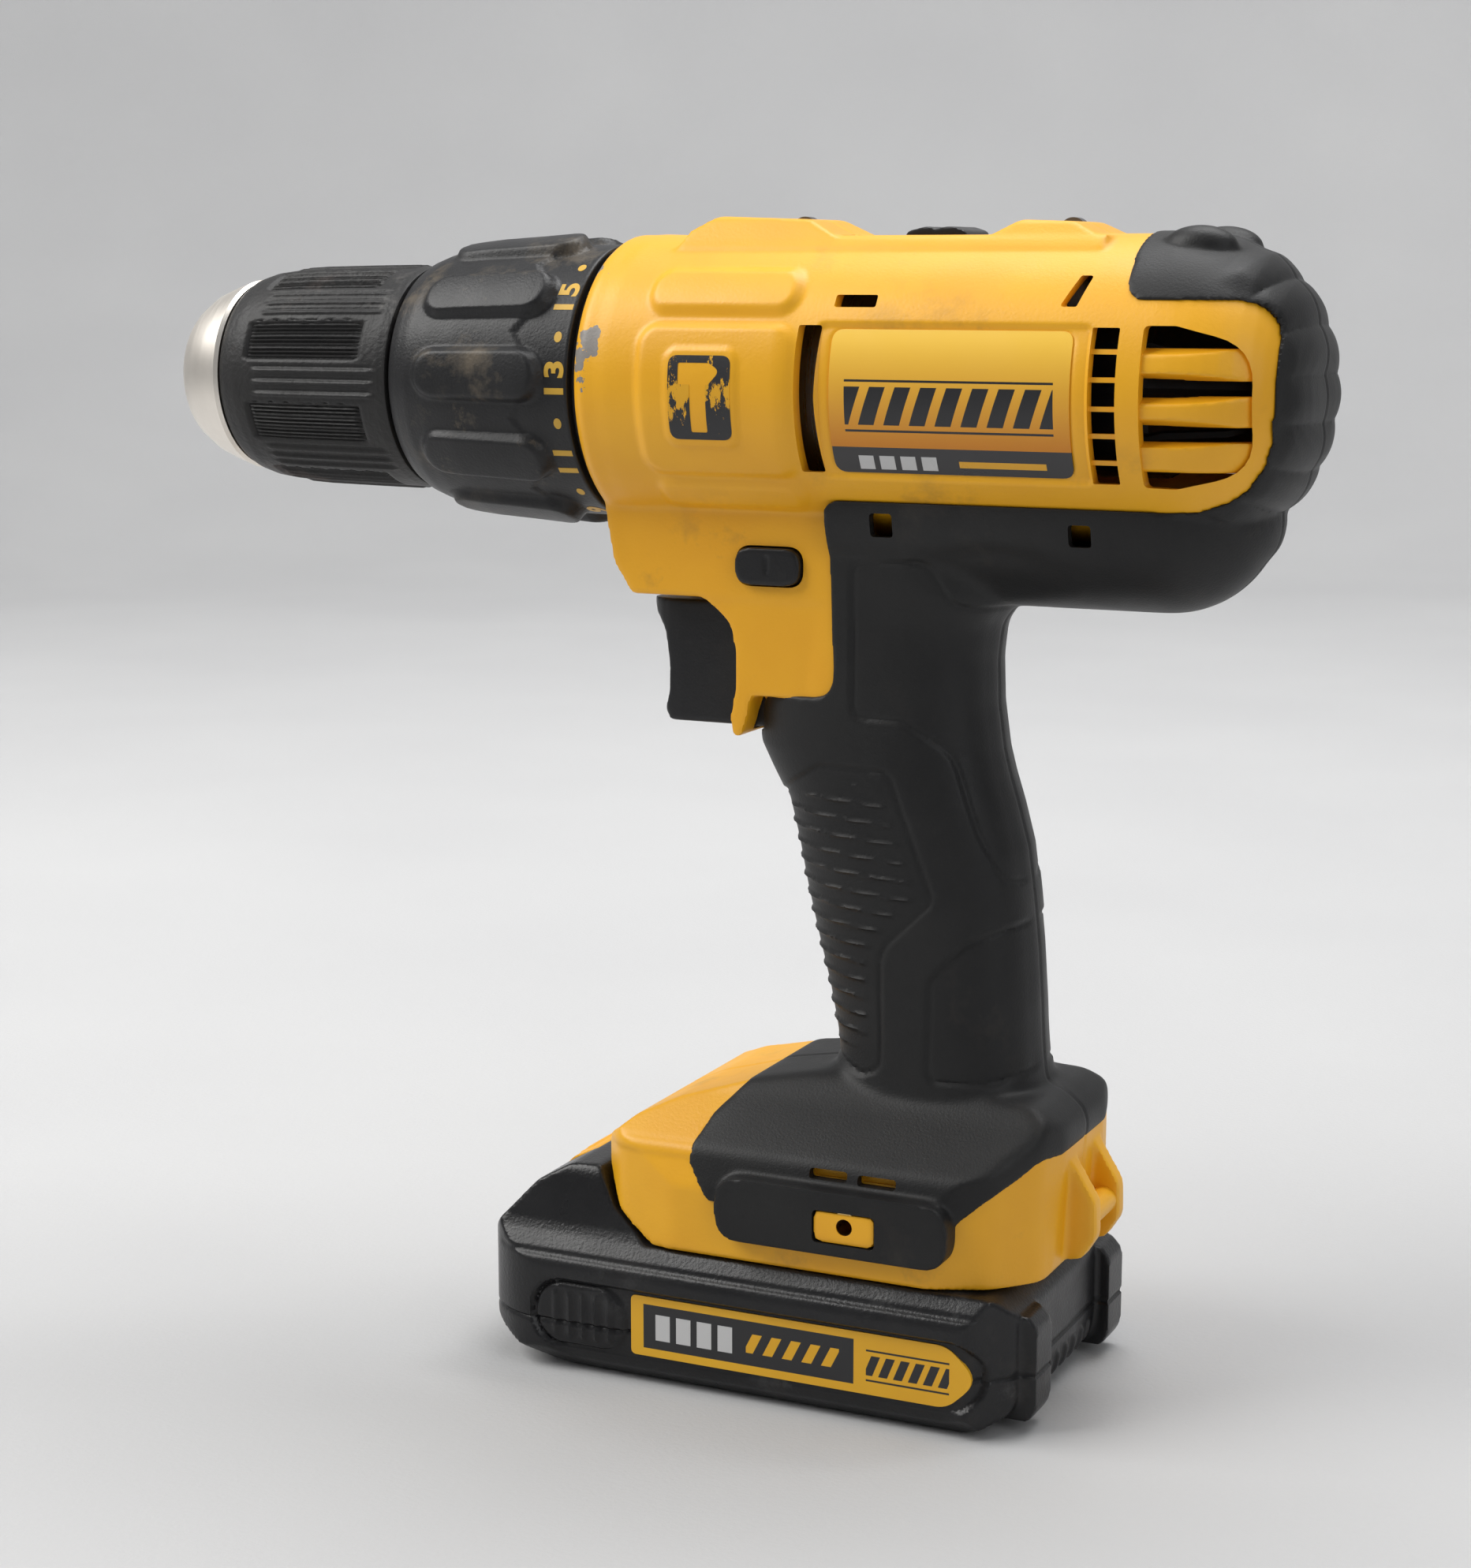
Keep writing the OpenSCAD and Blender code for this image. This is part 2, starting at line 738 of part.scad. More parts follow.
module carrier_pins(x0, x1) {
    for (a = [90, 210, 330])
        translate([x0, carry_r * cos(a), axis_h + carry_r * sin(a)]) rotate([0, 90, 0])
            cylinder(r = pin_r, h = x1 - x0, $fn = 36);
}

module planet(x0, a) {
    mesh_turn = planet_teeth % 2 == 0 ? 180 / planet_teeth : 0;
    translate([0, carry_r * cos(a), carry_r * sin(a)]) difference() {
        external_gear(planet_teeth, x0, x0 + gear_w, a + 180 - mesh_turn);
        disc(pin_r + run_gap, x0 - 1, x0 + gear_w + 1);
    }
}

module front_planet_1() { color(steel) planet(front_gear_x, 90); }

module front_planet_2() { color(steel) planet(front_gear_x, 210); }

module front_planet_3() { color(steel) planet(front_gear_x, 330); }

module rear_planet_1() { color(steel) planet(rear_gear_x, 90); }

module rear_planet_2() { color(steel) planet(rear_gear_x, 210); }

module rear_planet_3() { color(steel) planet(rear_gear_x, 330); }

// First-stage carrier with the second stage's sun gear on its front
module sun_carrier() {
    color(steel) {
        disc(carrier_r, sun_plate_x, sun_plate_x + 3.5);
        external_gear(sun_teeth, front_gear_x, sun_plate_x, 90);
        carrier_pins(sun_plate_x + 3.5, rear_gear_x + gear_w + 0.8);
    }
}

module motor_pinion() {
    color(brass) difference() {
        external_gear(sun_teeth, rear_gear_x, rear_gear_x + gear_w + 1.5, 90);
        disc(shaft_r, rear_gear_x - 1, rear_gear_x + gear_w + 2);
    }
}

module spindle() {
    color(steel) {
        difference() {
            turned([
                [0, flange_x + 7], [thread_r, flange_x + 7], [thread_r, body_end_x],
                [spindle_r, body_end_x], [spindle_r, spindle_flange_x],
                [carrier_r, spindle_flange_x], [carrier_r, spindle_flange_x + 4],
                [0, spindle_flange_x + 4],
            ]);
            disc(screw_r, flange_x, body_end_x + 4);
        }
        carrier_pins(spindle_flange_x + 4, front_gear_x + gear_w + 0.3);
    }
}

// ---- Chuck --------------------------------------------------------------

// Places a child that points along +X onto a jaw's sloping axis at its tip
module on_jaw_axis(index) {
    translate([0, 0, axis_h]) rotate([120 * index, 0, 0])
        translate([jaw_tip_x, 0, jaw_tip_r]) rotate([0, -jaw_angle, 0]) children();
}

module jaw_bores() {
    for (index = [0 : 2])
        on_jaw_axis(index) translate([-20, 0, 0]) rotate([0, 90, 0])
            cylinder(r = jaw_r + run_gap, h = 80, $fn = 48);
}

module chuck_nose() {
    color([0.72, 0.7, 0.66]) turned([
        [10.6, nose_x], [13.4, nose_x], [14.6, nose_x + 0.4], [17.4, nose_x + 4.8],
        [19.4, nose_x + 8.5], [20, nose_x + 11.2], [13, nose_x + 11.2], [13, nose_x + 2],
        [10.6, nose_x + 2],
    ]);
}

module chuck_body() {
    color(steel) difference() {
        turned([
            [0, nose_x + 2], [13, nose_x + 2], [13, sleeve_x], [chuck_r, sleeve_x],
            [chuck_r, nut_x[0] - 0.2], [groove_r, nut_x[0] - 0.2], [groove_r, flange_x],
            [hollow_r - 0.5, flange_x], [hollow_r - 0.5, flange_x + 4], [chuck_r, flange_x + 4],
            [chuck_r, body_end_x], [0, body_end_x],
        ]);
        disc(shank_r + 0.3, nose_x, screw_seat_x);
        disc(screw_r, screw_seat_x - 1, flange_x + 8);
        disc(thread_r, flange_x + 7, body_end_x + 1);
        jaw_bores();
    }
}

// Race that takes the push of the nut, with clear room for the jaws' tails
module chuck_thrust_ring() {
    race_r = jaw_tip_r + (flange_x - jaw_tip_x) * tan(jaw_angle) + jaw_r / cos(jaw_angle) + 0.3;
    color("silver") ring(hollow_r - 0.5, race_r, nut_x[1] + 0.1, flange_x);
}

module chuck_screw() {
    color([0.3, 0.3, 0.32]) difference() {
        union() {
            disc(5, screw_seat_x - 3, screw_seat_x);
            disc(screw_r, screw_seat_x, body_end_x + 2);
        }
        along_spindle(screw_seat_x - 4, screw_seat_x - 1) circle(r = 2, $fn = 6);
    }
}

module chuck_sleeve() {
    color(black) turned([
        [chuck_r + run_gap, sleeve_x], [sleeve_r - 3, sleeve_x], [sleeve_r - 2.6, sleeve_x + 1],
        [sleeve_r - 1.4, sleeve_x + 8], [sleeve_r - 0.6, sleeve_x + 14],
        [sleeve_r - 0.3, sleeve_x + 24], [sleeve_r, sleeve_x + 40], [sleeve_r, sleeve_end_x],
        [chuck_r + run_gap, sleeve_end_x], [chuck_r + run_gap, sleeve_end_x - 4],
        [hollow_r, sleeve_end_x - 6], [hollow_r, nut_x[1]], [hollow_r - 0.4, nut_x[1]],
        [hollow_r - 0.4, nut_x[0]], [chuck_r + run_gap, nut_x[0]],
    ]);
}

module chuck_nut() {
    function cone_r(x) = jaw_tip_r + (x - jaw_tip_x) * tan(jaw_angle) + jaw_r / cos(jaw_angle) + 0.15;
    color(steel) turned([
        [max(groove_r + 0.2, cone_r(nut_x[0])), nut_x[0]], [hollow_r - 0.4, nut_x[0]],
        [hollow_r - 0.4, nut_x[1]], [max(groove_r + 0.2, cone_r(nut_x[1])), nut_x[1]],
    ]);
}

// A jaw at its fully open place, its pad hollowed to the largest shank
module jaw(index) {
    color([0.5, 0.5, 0.52]) difference() {
        on_jaw_axis(index) rotate([0, 90, 0]) cylinder(r = jaw_r, h = jaw_len, $fn = 48);
        disc(shank_r, jaw_tip_x - 5, jaw_tip_x + 20);
        // the flanks that let the three pads close up, 60 degrees either side of the middle
        translate([0, 0, axis_h]) rotate([120 * index, 0, 0]) translate([0, 0, jaw_reach + 0.1])
            long_bar([
                [0, 0], [30 * sin(60), 30 * cos(60)], [30, -20], [-30, -20],
                [-30 * sin(60), 30 * cos(60)],
            ], jaw_tip_x - 5, jaw_tip_x + jaw_len + 5);
    }
}

module chuck_jaw_1() { jaw(0); }

module chuck_jaw_2() { jaw(1); }

module chuck_jaw_3() { jaw(2); }

// ---- Motor --------------------------------------------------------------

module motor_plate() {
    color(steel) ring(ring_r, 5.5, case_end_x - 2.6, case_end_x);
}

module motor_can() {
    color([0.6, 0.6, 0.62]) difference() {
        disc(motor_r, can_x, cap_x);
        disc(motor_r - 1.6, can_x + 1.6, cap_x + 1);
        disc(shaft_r + 2.5, can_x - 1, can_x + 2);
        for (a = [0 : 60 : 300])
            translate([can_x + 5, 0, axis_h]) rotate([a, 0, 0]) translate([0, -3, motor_r - 5])
                cube([5, 6, 10]);
    }
}

module motor_magnets() {
    color([0.2, 0.2, 0.2]) difference() {
        ring(motor_r - 1.6, motor_r - 5, can_x + 12, cap_x - 6);
        for (z = [axis_h - 30, axis_h + 10]) block([can_x, cap_x], [-40, 40], [z, z + 20]);
    }
}

module armature() {
    stack_r = motor_r - 5.6;
    color(copper) difference() {
        union() {
            disc(stack_r, can_x + 14, cap_x - 8);
            disc(stack_r - 3, can_x + 10.5, cap_x - 4);
            disc(6, cap_x - 4, cap_x + 8);
        }
        for (a = [0 : 30 : 330])
            translate([can_x + 13, 0, axis_h]) rotate([a, 0, 0]) translate([0, -0.7, stack_r - 2.5])
                cube([can_len - 20, 1.4, 6]);
        disc(shaft_r, can_x, cap_x + 20);
    }
    color(steel) disc(shaft_r, rear_gear_x + 0.3, shaft_end_x);
}

module motor_fan() {
    color(black) {
        ring(shaft_r + 3, shaft_r, can_x + 3, can_x + 10);
        ring(motor_r - 3.5, shaft_r + 2, can_x + 9, can_x + 10);
        for (a = [0 : 36 : 324])
            translate([can_x + 3, 0, axis_h]) rotate([a, 0, 0]) translate([0, -0.6, shaft_r + 2.5])
                cube([6.5, 1.2, motor_r - shaft_r - 6.5]);
    }
}

module motor_end_cap() {
    color(black) difference() {
        disc(motor_r, cap_x, cap_x + cap_len);
        disc(13.5, cap_x - 1, cap_x + cap_len - 5);
        disc(bearing_r, cap_x, cap_x + cap_len + 1);
        for (side = [-1, 1])
            block([cap_x + 2, cap_x + 7], side > 0 ? [6, 20] : [-20, -6], [axis_h - 3, axis_h + 3]);
    }
}

module motor_brushes() {
    color([0.3, 0.28, 0.28]) for (side = [-1, 1])
        block([cap_x + 2, cap_x + 7], side > 0 ? [6.2, 18] : [-18, -6.2], [axis_h - 3, axis_h + 3]);
}

module rear_bearing() {
    color(steel) ring(bearing_r, shaft_r + run_gap, cap_x + cap_len - 5, cap_x + cap_len);
}

// ---- Switch and wiring --------------------------------------------------

module switch_module() {
    color([0.2, 0.2, 0.22]) difference() {
        block(switch_x, [-10.5, 10.5], switch_z);
        translate([switch_x[0] - 1, 0, plunger_z]) rotate([0, 90, 0])
            cylinder(r = plunger_r + slide_gap, h = 2 * trigger_travel + 1);
    }
}

module trigger_spring() {
    span = switch_x[0] - trigger_back_x;
    color(steel) for (i = [0 : 3])
        translate([trigger_back_x + 1 + i * (span - 2) / 3, 0, plunger_z]) rotate([0, 90, 0])
            rotate_extrude($fn = 36) translate([plunger_r + 1.4, 0]) circle(r = 0.5, $fn = 16);
}

module trigger() {
    color(black) {
        side_plate([
            [trigger_back_x, grip_z - 1], [-36.2, grip_z - 1], [-36.6, grip_z - 4], [-34.4, grip_z - 9],
            [-33.2, grip_z - 15], [-33.5, grip_z - 20], [-34.4, grip_z - 24],
            [-33.4, grip_z - beak_drop + 0.6], [-14, grip_z - beak_drop + 0.6],
            [trigger_back_x, grip_z - beak_drop + 0.6],
        ], -trigger_w / 2, trigger_w / 2);
        translate([trigger_back_x - 1, 0, plunger_z]) rotate([0, 90, 0])
            cylinder(r = plunger_r, h = trigger_travel + 5);
    }
}

module direction_button() {
    color(black) {
        proud = button_travel / 2 + 0.1;
        pill_plate(button_x, button_z, [-nose_w / 2 - proud, nose_w / 2 + proud]);
        block([-8, -5], [-2, 2], [grip_z - 0.5, button_z[0] + 1]);
    }
}

module wiring() {
    color([0.6, 0.1, 0.08]) for (y = [-5, 5]) upright(1.4, 24, y, foot_floor_z + 4, switch_z[0]);
    color([0.6, 0.1, 0.08]) for (y = [-5, 5]) upright(1.4, 26, y, switch_z[1], axis_h - motor_r - 0.5);
}

module terminal_block() {
    color(black) difference() {
        block([rail_x[1] + 1, rail_x[1] + 12], [-18, 18], [foot_z + 1.5, foot_floor_z + 1.5]);
        for (y = blade_y)
            block([rail_x[1], rail_x[1] + 10], [y - blade_t / 2, y + blade_t / 2], blade_z);
    }
}

module terminal_blades() {
    color(brass) for (y = blade_y)
        block([rail_x[1] - 8, rail_x[1] + 10], [y - blade_t / 2, y + blade_t / 2], blade_z);
}

// ---- Speed selector -----------------------------------------------------

module speed_slider() {
    color(black) {
        top_z = axis_h + barrel_r + 0.8;
        block(slider_x, [-slider_w / 2, slider_w / 2], [axis_h + strap_z + strap_t, top_z]);
        block([slider_x[0] + 1, slider_x[1] - 1], [-6.5, 6.5],
              [axis_h + channel_top + slide_gap, top_z]);
    }
}

module shift_fork() {
    color(steel) difference() {
        union() {
            ring(gearcase_r + 1.5, gearcase_r + 0.5, fork_x - 2, fork_x - 1);
            block([fork_x - 2, slider_x[1] - 2], [-strap_w / 2, strap_w / 2],
                  [axis_h + strap_z, axis_h + strap_z + strap_t]);
        }
        block([-100, 100], [-60, 60], [axis_h - 60, axis_h + 2]);
    }
}

// ---- Battery pack -------------------------------------------------------

function pack_side() = [
    [-43, 0], [41, 0], [48, 3], [pack_x[1], 9], [pack_x[1], pack_h - 5],
    [pack_x[1] - 5, pack_h], [-40.5, pack_h], [-46, pack_h + 12.5], [-51, pack_h + 9.5],
    [-58, pack_h + 2], [-63.5, pack_h - 4], [pack_x[0], 19], [-64, 11], [-57, 3],
];

function pack_plan() = let (w = pack_w / 2) [
    [pack_x[0], w - 24], [pack_x[0], 24 - w], [pack_x[0] + 3, 9 - w], [pack_x[0] + 9, -w],
    [pack_x[1] - 6, -w], [pack_x[1], 6 - w], [pack_x[1], w - 6], [pack_x[1] - 6, w],
    [pack_x[0] + 9, w], [pack_x[0] + 3, w - 9],
];

module pack_form(d) {
    intersection() {
        side_plate(inset(pack_side(), d), -pack_w, pack_w);
        translate([0, 0, -5]) linear_extrude(60) polygon(inset(pack_plan(), d));
    }
}

module pack_lugs() {
    for (y = [-lug_y, lug_y])
        block([pack_x[1] - 8, pack_x[1] + 3], [y - lug_w / 2, y + lug_w / 2], [2.2, pack_h - 4.5]);
}

module pack_shell() {
    difference() {
        union() {
            pack_form(0);
            pack_lugs();
        }
        intersection() {
            pack_form(pack_wall);
            block([-56, 60], [-60, 60], [0, pack_h - pack_wall]);
        }
    }
}

module pack_lower_shell() {
    color(black) intersection() {
        pack_shell();
        block([-90, 90], [-60, 60], [-1, split_z]);
    }
}

module pack_upper_shell() {
    color(black) difference() {
        union() {
            intersection() {
                pack_shell();
                block([-90, 90], [-60, 60], [split_z, 60]);
            }
            block(rail_x, [-rail_neck_w / 2, rail_neck_w / 2], [pack_h - 1, rail_neck_z + 0.5]);
            block(rail_x, [-rail_head_w / 2, rail_head_w / 2], [rail_neck_z + slide_gap, rail_head_z]);
        }
        for (y = blade_y)
            block([rail_x[1] - 10, rail_x[1] + 1], [y - blade_t, y + blade_t],
                  [blade_z[0] - slide_gap, blade_z[1] + slide_gap]);
        block([button_slot_x[0] - slide_gap, button_slot_x[1] + slide_gap],
              [-button_slot_w / 2 - slide_gap, button_slot_w / 2 + slide_gap],
              [pack_h - release_travel, 80]);
    }
}

module pack_cells() {
    color([0.2, 0.45, 0.35]) for (i = [-2 : 2])
        cross_rod(cell_r, i * cell_pitch - 1, cell_z, -cell_len / 2, cell_len / 2);
}

module pack_board() {
    color("green") block([-44, 40], [-14, 14], [pack_h - pack_wall - 1.9, pack_h - pack_wall - 0.3]);
}

// Pushed down to let the pack slide off the foot
module pack_release_button() {
    color(yellow) block(button_slot_x, [-button_slot_w / 2, button_slot_w / 2],
                        [pack_h + 0.5, pack_h + 11.5]);
}

left_housing();
right_housing();
left_overmould();
right_overmould();
left_label_plate();
right_label_plate();
hook_inserts();
housing_screws();
work_light_lens();
gearcase();
ring_gears();
spindle_bearing();
spindle_bush();
hammer_ratchet_fixed();
clutch_plate();
clutch_balls();
clutch_spring();
motor_plate();
motor_can();
motor_magnets();
motor_end_cap();
motor_brushes();
rear_bearing();
switch_module();
trigger_spring();
wiring();
terminal_block();
terminal_blades();
chuck_nose();
chuck_body();
chuck_thrust_ring();
chuck_screw();
spindle();
hammer_ratchet_turning();
chuck_sleeve();
chuck_nut();
chuck_jaw_1();
chuck_jaw_2();
chuck_jaw_3();
torque_collar();
clutch_nut();
sun_carrier();
front_planet_1();
front_planet_2();
front_planet_3();
rear_planet_1();
rear_planet_2();
rear_planet_3();
armature();
motor_pinion();
motor_fan();
speed_slider();
shift_fork();
direction_button();
trigger();
pack_lower_shell();
pack_upper_shell();
pack_cells();
pack_board();
pack_release_button();
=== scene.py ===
import math

import bmesh
import bpy
import numpy as np
from mathutils import Matrix, Vector


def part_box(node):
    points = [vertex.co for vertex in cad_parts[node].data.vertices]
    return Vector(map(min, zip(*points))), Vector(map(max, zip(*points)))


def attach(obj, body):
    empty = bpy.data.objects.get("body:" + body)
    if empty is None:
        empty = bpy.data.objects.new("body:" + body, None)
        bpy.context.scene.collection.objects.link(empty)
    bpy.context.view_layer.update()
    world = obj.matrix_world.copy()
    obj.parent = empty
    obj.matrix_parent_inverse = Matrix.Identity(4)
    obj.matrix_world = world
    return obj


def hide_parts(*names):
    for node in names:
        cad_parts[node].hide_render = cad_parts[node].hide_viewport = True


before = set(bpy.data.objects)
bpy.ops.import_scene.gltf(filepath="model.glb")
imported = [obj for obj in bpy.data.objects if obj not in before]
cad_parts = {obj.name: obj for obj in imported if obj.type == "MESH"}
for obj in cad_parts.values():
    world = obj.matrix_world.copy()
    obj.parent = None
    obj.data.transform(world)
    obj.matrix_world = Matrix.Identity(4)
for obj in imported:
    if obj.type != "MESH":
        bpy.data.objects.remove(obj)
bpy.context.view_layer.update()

# ---- Room: pale sweep, soft boxes and the camera --------------------------
# The drill stands on a pale woven cloth that rises all round it without a
# corner. One large soft box hangs at its upper left and a weak one fills in.

MM = 0.001


def woven_cloth():
    material = bpy.data.materials.new("pale_cloth")
    material.use_nodes = True
    nodes = material.node_tree.nodes
    links = material.node_tree.links
    shader = nodes["Principled BSDF"]
    place = nodes.new("ShaderNodeTexCoord")
    weave = nodes.new("ShaderNodeTexNoise")
    weave.inputs["Scale"].default_value = 900
    # Painted shade: large soft patches of darker and lighter grey stand in for the shading of creases in the
    # cloth.
    painted_crease_shade = nodes.new("ShaderNodeTexNoise")
    painted_crease_shade.inputs["Scale"].default_value = 5
    shade = nodes.new("ShaderNodeValToRGB")
    shade.color_ramp.elements[0].color = (0.47, 0.47, 0.475, 1)
    shade.color_ramp.elements[1].color = (0.54, 0.54, 0.54, 1)
    rise = nodes.new("ShaderNodeBump")
    rise.inputs["Strength"].default_value = 0.25
    rise.inputs["Distance"].default_value = 0.0004
    links.new(place.outputs["Object"], weave.inputs["Vector"])
    links.new(place.outputs["Object"], painted_crease_shade.inputs["Vector"])
    links.new(painted_crease_shade.outputs["Fac"], shade.inputs["Fac"])
    links.new(shade.outputs["Color"], shader.inputs["Base Color"])
    links.new(weave.outputs["Fac"], rise.inputs["Height"])
    links.new(rise.outputs["Normal"], shader.inputs["Normal"])
    shader.inputs["Roughness"].default_value = 0.9
    return material


def sweep():
    floor_r, wall_r, wall_h = 1.5, 2.3, 2.4
    bend = wall_r - floor_r
    bm = bmesh.new()
    line = [bm.verts.new((0, 0, 0)), bm.verts.new((floor_r, 0, 0))]
    for step in range(1, 13):
        turn = math.radians(90 * step / 12)
        line.append(bm.verts.new((floor_r + bend * math.sin(turn), 0, bend * (1 - math.cos(turn)))))
    line.append(bm.verts.new((wall_r, 0, wall_h)))
    edges = [bm.edges.new(pair) for pair in zip(line, line[1:])]
    bmesh.ops.spin(bm, geom=line + edges, cent=(0, 0, 0), axis=(0, 0, 1), angle=2 * math.pi,
                   steps=64, use_merge=True)
    bmesh.ops.remove_doubles(bm, verts=bm.verts, dist=1e-6)
    bmesh.ops.recalc_face_normals(bm, faces=bm.faces)
    for face in bm.faces:
        face.smooth = True
    mesh = bpy.data.meshes.new("sweep")
    bm.to_mesh(mesh)
    bm.free()
    cloth = bpy.data.objects.new("sweep", mesh)
    bpy.context.scene.collection.objects.link(cloth)
    mesh.materials.append(woven_cloth())


def soft_box(name, place, aim, size, watts, colour):
    light = bpy.data.lights.new(name, "AREA")
    light.shape = "RECTANGLE"
    light.size, light.size_y = size
    light.energy = watts
    light.color = colour
    lamp = bpy.data.objects.new(name, light)
    bpy.context.scene.collection.objects.link(lamp)
    lamp.location = place
    lamp.rotation_euler = (Vector(aim) - Vector(place)).to_track_quat("-Z", "Y").to_euler()


def camera():
    lens = bpy.data.cameras.new("camera")
    lens.sensor_width = 36
    lens.lens = 66.5
    stand = bpy.data.objects.new("camera", lens)
    bpy.context.scene.collection.objects.link(stand)
    stand.location = (0.2267, -0.5304, 0.2223)
    stand.rotation_euler = (math.radians(79.88), 0, math.radians(25.08))
    bpy.context.scene.camera = stand


sweep()
camera()
soft_box("window", (-0.95, -0.5, 1.15), (0, 0, 0.12), (0.9, 0.9), 18.5, (1, 0.99, 0.97))
soft_box("overhead", (0.1, 0.35, 1.35), (0, 0, 0.12), (1.2, 0.9), 11, (1, 1, 1))
soft_box("fill", (1.05, -0.55, 0.7), (0, 0, 0.12), (0.7, 0.9), 3, (0.97, 0.98, 1))
soft_box("backdrop", (0.2, 0.7, 1.9), (-0.7, 2.2, 0.6), (1.6, 0.6), 26, (1, 1, 1))
world = bpy.data.worlds.new("room")
world.use_nodes = True
world.node_tree.nodes["Background"].inputs["Color"].default_value = (0.9, 0.92, 0.95, 1)
world.node_tree.nodes["Background"].inputs["Strength"].default_value = 0.3
bpy.context.scene.world = world
bpy.context.scene.view_settings.view_transform = "Standard"

# ---- Housing: two yellow clamshell halves ----------------------------------
# Glass-filled nylon, injection moulded as a left and a right half that meet on
# the drill's middle plane. The halves are screwed together round the gearbox.

axis_z = (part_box("spindle")[0].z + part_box("spindle")[1].z) / 2 / MM
barrel_r = (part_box("left_housing")[1].z / MM - axis_z) - 3.6
front_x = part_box("torque_collar")[1].x / MM + 2.5
pack_top = 28.0
foot_z = pack_top + 0.3


def grid_of(bm, name):
    mesh = bpy.data.meshes.new(name)
    bmesh.ops.recalc_face_normals(bm, faces=bm.faces)
    bm.to_mesh(mesh)
    bm.free()
    piece = bpy.data.objects.new(name, mesh)
    bpy.context.scene.collection.objects.link(piece)
    return piece


def turned(name, profile, steps=128, centre_z=None, closed=False):
    """A form turned about a line along X from points of (x, radius)."""
    centre = axis_z if centre_z is None else centre_z
    bm = bmesh.new()
    line = [bm.verts.new((x * MM, 0, (centre + r) * MM)) for x, r in profile]
    edges = [bm.edges.new(pair) for pair in zip(line, line[1:] + (line[:1] if closed else []))]
    bmesh.ops.spin(bm, geom=line + edges, cent=(0, 0, centre * MM), axis=(1, 0, 0),
                   angle=2 * math.pi, steps=steps, use_merge=True)
    bmesh.ops.remove_doubles(bm, verts=bm.verts, dist=1e-7)
    return grid_of(bm, name)


def rounded(points):
    """The outline with each corner (u, v, radius) turned into an arc."""
    line = []
    count = len(points)
    for i, (u, v, radius) in enumerate(points):
        here = Vector((u, v))
        back = Vector(points[i - 1][:2]) - here
        ahead = Vector(points[(i + 1) % count][:2]) - here
        half = back.angle(ahead) / 2
        reach = min(radius / math.tan(half), 0.49 * back.length, 0.49 * ahead.length)
        if radius <= 0 or half > math.radians(88):
            line.append(here)
            continue
        start = here + back.normalized() * reach
        end = here + ahead.normalized() * reach
        for step in range(7):
            t = step / 6
            line.append((1 - t) ** 2 * start + 2 * t * (1 - t) * here + t ** 2 * end)
    return line


def plate(name, points, y0, y1):
    """A plate cut to an outline in X and Z, from y0 to y1."""
    bm = bmesh.new()
    face = bm.faces.new([bm.verts.new((p[0] * MM, y0 * MM, p[1] * MM)) for p in rounded(points)])
    grown = bmesh.ops.extrude_face_region(bm, geom=[face])
    rim = [g for g in grown["geom"] if isinstance(g, bmesh.types.BMVert)]
    bmesh.ops.translate(bm, verts=rim, vec=(0, (y1 - y0) * MM, 0))
    return grid_of(bm, name)


def floor_plate(name, points, z0, z1):
    """A plate cut to an outline in X and Y, from z0 to z1."""
    bm = bmesh.new()
    face = bm.faces.new([bm.verts.new((p[0] * MM, p[1] * MM, z0 * MM)) for p in rounded(points)])
    grown = bmesh.ops.extrude_face_region(bm, geom=[face])
    rim = [g for g in grown["geom"] if isinstance(g, bmesh.types.BMVert)]
    bmesh.ops.translate(bm, verts=rim, vec=(0, 0, (z1 - z0) * MM))
    return grid_of(bm, name)


def long_bar(name, points, x0, x1):
    """A bar cut to an outline in Y and Z, from x0 to x1."""
    bm = bmesh.new()
    face = bm.faces.new([bm.verts.new((x0 * MM, p[0] * MM, p[1] * MM)) for p in rounded(points)])
    grown = bmesh.ops.extrude_face_region(bm, geom=[face])
    rim = [g for g in grown["geom"] if isinstance(g, bmesh.types.BMVert)]
    bmesh.ops.translate(bm, verts=rim, vec=((x1 - x0) * MM, 0, 0))
    return grid_of(bm, name)


def box_points(u0, u1, v0, v1, radius):
    return [(u0, v0, radius), (u1, v0, radius), (u1, v1, radius), (u0, v1, radius)]


def lofted(name, rows, squareness=2.6, count=72):
    """A closed form through level sections of (z, front x, rear x, half width)."""
    bm = bmesh.new()
    loops = []
    for z, front, rear, half in rows:
        ring = bmesh.ops.create_circle(bm, segments=count, radius=1)["verts"]
        for vert in ring:
            u = math.copysign(abs(vert.co.x) ** (2 / squareness), vert.co.x)
            v = math.copysign(abs(vert.co.y) ** (2 / squareness), vert.co.y)
            vert.co = ((front + rear + u * (rear - front)) / 2 * MM, v * half * MM, z * MM)
        loops.append(ring)
    for low, high in zip(loops, loops[1:]):
        edges = [e for e in bm.edges if all(v in low for v in e.verts)]
        edges += [e for e in bm.edges if all(v in high for v in e.verts)]
        bmesh.ops.bridge_loops(bm, edges=edges)
    for ring in (loops[0], loops[-1]):
        bmesh.ops.contextual_create(bm, geom=ring)
    return grid_of(bm, name)


def baked(piece):
    seen = piece.evaluated_get(bpy.context.evaluated_depsgraph_get())
    mesh = bpy.data.meshes.new_from_object(seen)
    piece.modifiers.clear()
    piece.data = mesh
    return piece


def scrapped(piece):
    bpy.data.objects.remove(piece)


def combined(piece, tool, operation):
    change = piece.modifiers.new(operation, "BOOLEAN")
    change.solver = "MANIFOLD"
    change.operation = operation
    change.object = tool
    bpy.context.view_layer.update()
    baked(piece)
    scrapped(tool)
    return piece


def cut(piece, *tools):
    for tool in tools:
        combined(piece, tool, "DIFFERENCE")
    return piece


